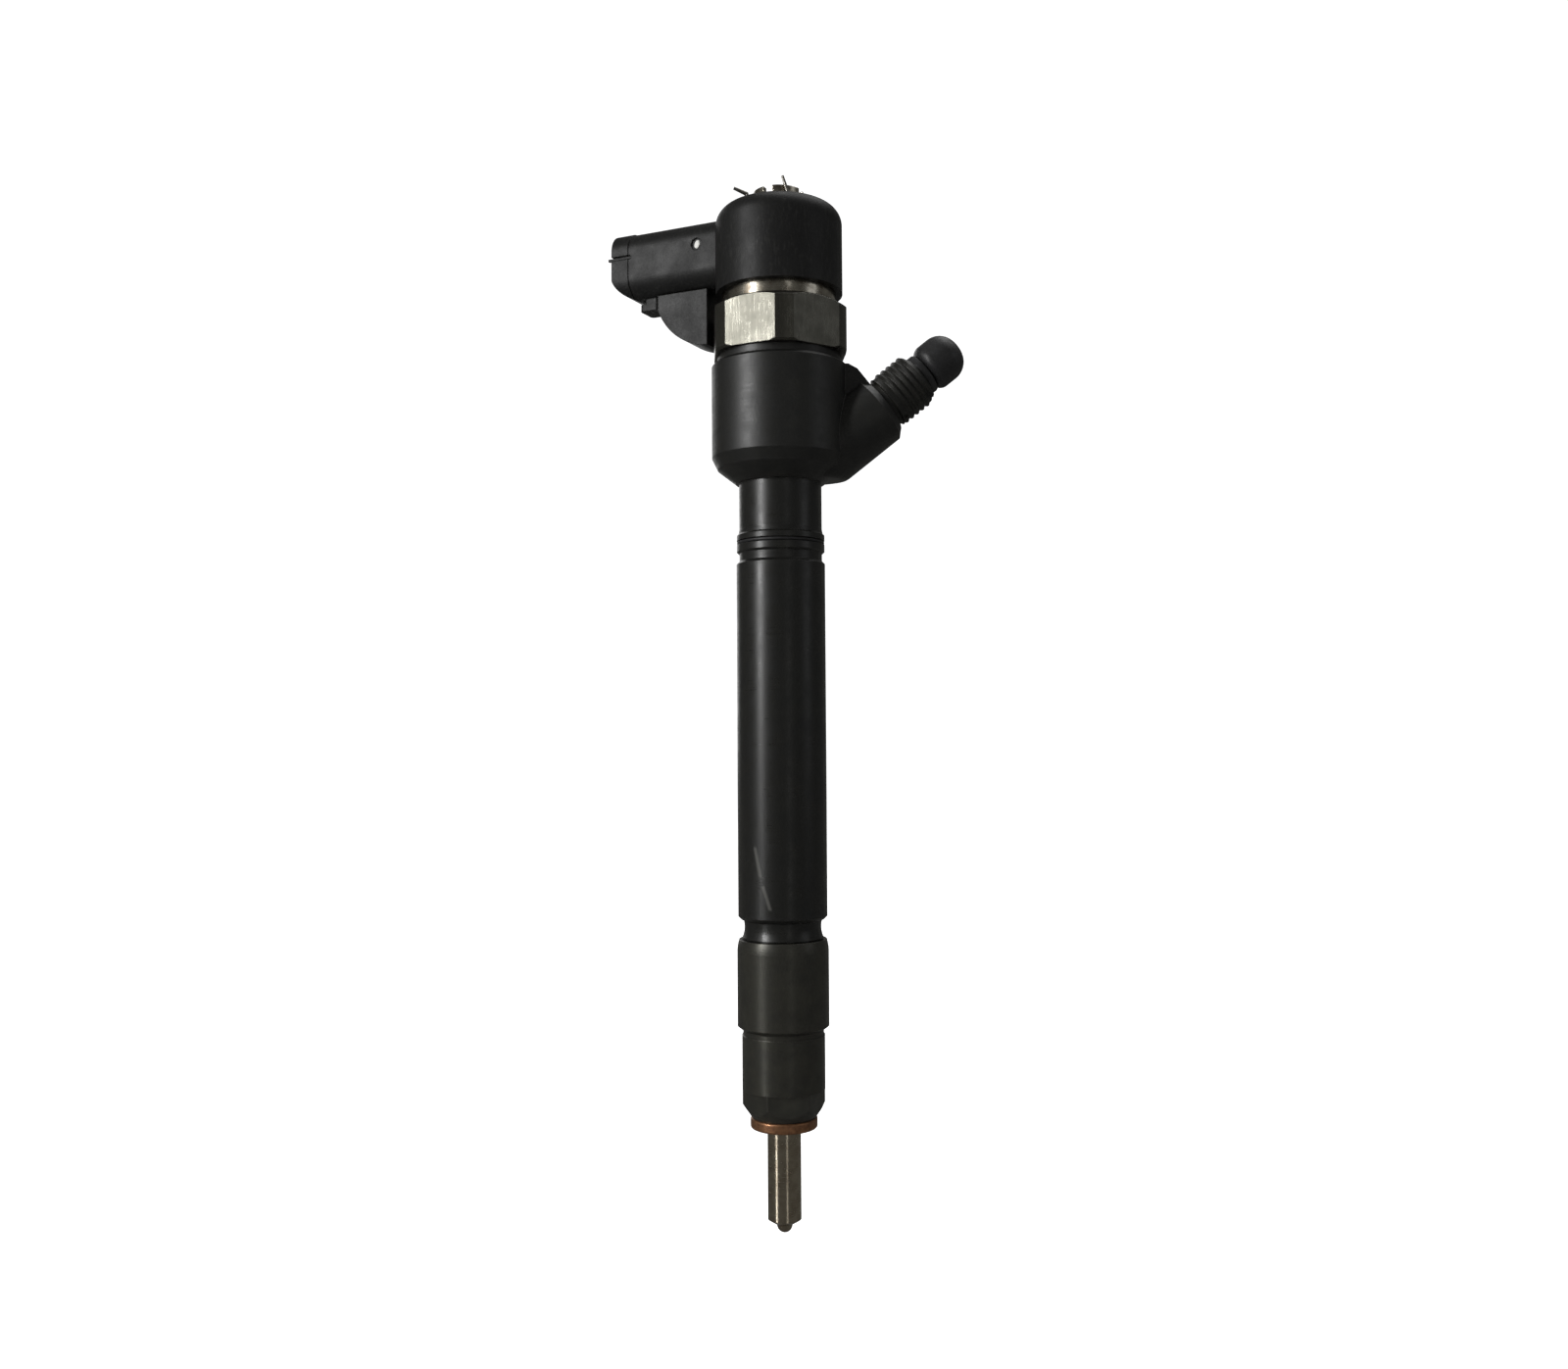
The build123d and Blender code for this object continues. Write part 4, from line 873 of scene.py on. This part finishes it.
def paint(nodes: dict[str, bpy.types.Object], finish: Union[Steel, Moulding], *names: str) -> None:
    """Gives CAD nodes a finish, made once and shared.

    Args:
        nodes: The frame's CAD nodes.
        finish: The finish.
        names: The nodes' names.
    """
    if finish.name not in _made:
        _made[finish.name] = finish.make()
    for name in names:
        for slot in nodes[name].material_slots:
            slot.link = "OBJECT"
            slot.material = _made[finish.name]
        LOG.info("finish %s on %s", finish.name, name)


# ------------------------------------------------------------------ studio
@dataclass(frozen=True)
class SoftBox:
    """One rectangular light, aimed at a point."""

    name: str
    azimuth: float
    distance: float
    height: float
    width: float
    tall: float
    power: float
    colour: Colour = (1.0, 1.0, 1.0)
    aim: float = 0.1

    def place(self) -> None:
        """Adds the light to the scene."""
        light = bpy.data.lights.new(self.name, "AREA")
        light.shape = "RECTANGLE"
        light.size = self.width
        light.size_y = self.tall
        light.energy = self.power
        light.color = self.colour
        lamp = bpy.data.objects.new(self.name, light)
        turn = math.radians(self.azimuth)
        lamp.location = (self.distance * math.cos(turn), self.distance * math.sin(turn), self.height)
        aim = Vector((0.0, 0.0, self.aim)) - lamp.location
        lamp.rotation_euler = aim.to_track_quat("-Z", "Y").to_euler()
        bpy.context.scene.collection.objects.link(lamp)


@dataclass
class Studio:
    """Camera, floor, surroundings and lights."""

    camera_distance: float = 0.304
    camera_azimuth: float = 25.0
    camera_height: float = 80.8 * MM
    camera_pitch: float = 2.16
    camera_roll: float = -0.36
    camera_yaw: float = -0.1
    camera_lens: float = 33.1
    camera_sensor: float = 36.0
    camera_clip: float = 0.01
    floor_height: float = -22.0 * MM
    floor_size: float = 12.0
    surround: float = 0.1
    backdrop: float = 1.15
    boxes: tuple[SoftBox, ...] = (
        SoftBox("strip_left", -120.5, 1.0, 0.47, 0.09, 0.6, 8.6, aim=0.47),
        SoftBox("strip_left_low", -120.5, 1.0, -0.15, 0.08, 0.62, 0.9, aim=-0.15),
        SoftBox("strip_front", -46.0, 1.0, 0.05, 0.07, 1.1, 0.28, aim=0.05),
        SoftBox("overhead", 60.0, 0.5, 1.5, 1.2, 1.2, 9.0),
        SoftBox("fill_back", 135.0, 1.3, 0.5, 0.7, 0.9, 3.0),
        SoftBox("fill_right", 5.0, 1.4, 0.5, 0.5, 0.9, 0.9, (0.94, 0.96, 1.0)),
    )

    def camera(self) -> bpy.types.Object:
        """Places the camera.

        Returns:
            The camera.
        """
        turn = math.radians(self.camera_azimuth)
        back = Vector((math.sin(turn), -math.cos(turn), 0.0))
        data = bpy.data.cameras.new("studio_camera")
        data.lens = self.camera_lens
        data.sensor_width = self.camera_sensor
        data.clip_start = self.camera_clip
        camera = bpy.data.objects.new("studio_camera", data)
        bpy.context.scene.collection.objects.link(camera)
        pitch = math.radians(self.camera_pitch)
        look = -back * math.cos(pitch) + Vector((0.0, 0.0, math.sin(pitch)))
        look = Matrix.Rotation(math.radians(self.camera_yaw), 3, "Z") @ look
        roll = Matrix.Rotation(math.radians(self.camera_roll), 3, "Z")
        camera.rotation_euler = (look.to_track_quat("-Z", "Y").to_matrix() @ roll).to_euler()
        camera.location = back * self.camera_distance + Vector((0.0, 0.0, self.camera_height))
        bpy.context.scene.camera = camera
        return camera

    def floor(self) -> bpy.types.Object:
        """Lays the pale floor.

        Returns:
            The floor.
        """
        mesh = bmesh.new()
        bmesh.ops.create_circle(mesh, cap_ends=True, segments=96, radius=self.floor_size)
        bmesh.ops.translate(mesh, vec=(0.0, 0.0, self.floor_height), verts=mesh.verts)
        data = bpy.data.meshes.new("studio_floor")
        mesh.to_mesh(data)
        mesh.free()
        tree = Tree("pale_floor")
        speckle = tree.noise(tree.place(), 40.0)
        tree.feed(tree.shader.inputs["Base Color"], tree.blend(speckle, (0.9, 0.9, 0.9), (0.94, 0.94, 0.94)))
        tree.shader.inputs["Roughness"].default_value = 0.9
        tree.shader.inputs["Specular IOR Level"].default_value = 0.0
        seen = tree.node("ShaderNodeLightPath", {}, {}, "Is Camera Ray")
        tree.feed(tree.shader.inputs["Emission Color"], tree.blend(seen, (0.0, 0.0, 0.0), (1.0, 1.0, 1.0)))
        tree.shader.inputs["Emission Strength"].default_value = 1.0
        data.materials.append(tree.material)
        floor = bpy.data.objects.new("studio_floor", data)
        bpy.context.scene.collection.objects.link(floor)
        floor.visible_glossy = False
        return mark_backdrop(floor)

    def surroundings(self) -> None:
        """Makes the world white to the camera and dim to the object."""
        world = bpy.data.worlds.new("studio_world")
        world.use_nodes = True
        nodes = world.node_tree.nodes
        links = world.node_tree.links
        plain = nodes["Background"]
        plain.inputs["Color"].default_value = (1.0, 0.99, 0.94, 1.0)
        plain.inputs["Strength"].default_value = self.surround
        white = nodes.new("ShaderNodeBackground")
        white.inputs["Color"].default_value = (1.0, 1.0, 1.0, 1.0)
        white.inputs["Strength"].default_value = self.backdrop
        path = nodes.new("ShaderNodeLightPath")
        mix = nodes.new("ShaderNodeMixShader")
        links.new(path.outputs["Is Camera Ray"], mix.inputs[0])
        links.new(plain.outputs[0], mix.inputs[1])
        links.new(white.outputs[0], mix.inputs[2])
        links.new(mix.outputs[0], nodes["World Output"].inputs["Surface"])
        bpy.context.scene.world = world

    def build(self) -> None:
        """Builds the whole studio."""
        self.camera()
        self.floor()
        self.surroundings()
        for box in self.boxes:
            box.place()


def main() -> None:
    """Builds every sub-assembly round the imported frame."""
    logging.basicConfig(level=logging.INFO, format="%(name)s: %(message)s")
    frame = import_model()
    nodes = frame["nodes"]
    bpy.context.scene.view_settings.view_transform = "Standard"
    for assembly in (NozzleEnd(), Barrel(), InletBranch(), SolenoidHead()):
        assembly.dress(nodes)
        for piece in assembly.build():
            LOG.info("piece %s, %d faces", piece.name, len(piece.data.polygons))
    Studio().build()


if __name__ == "__main__":
    main()
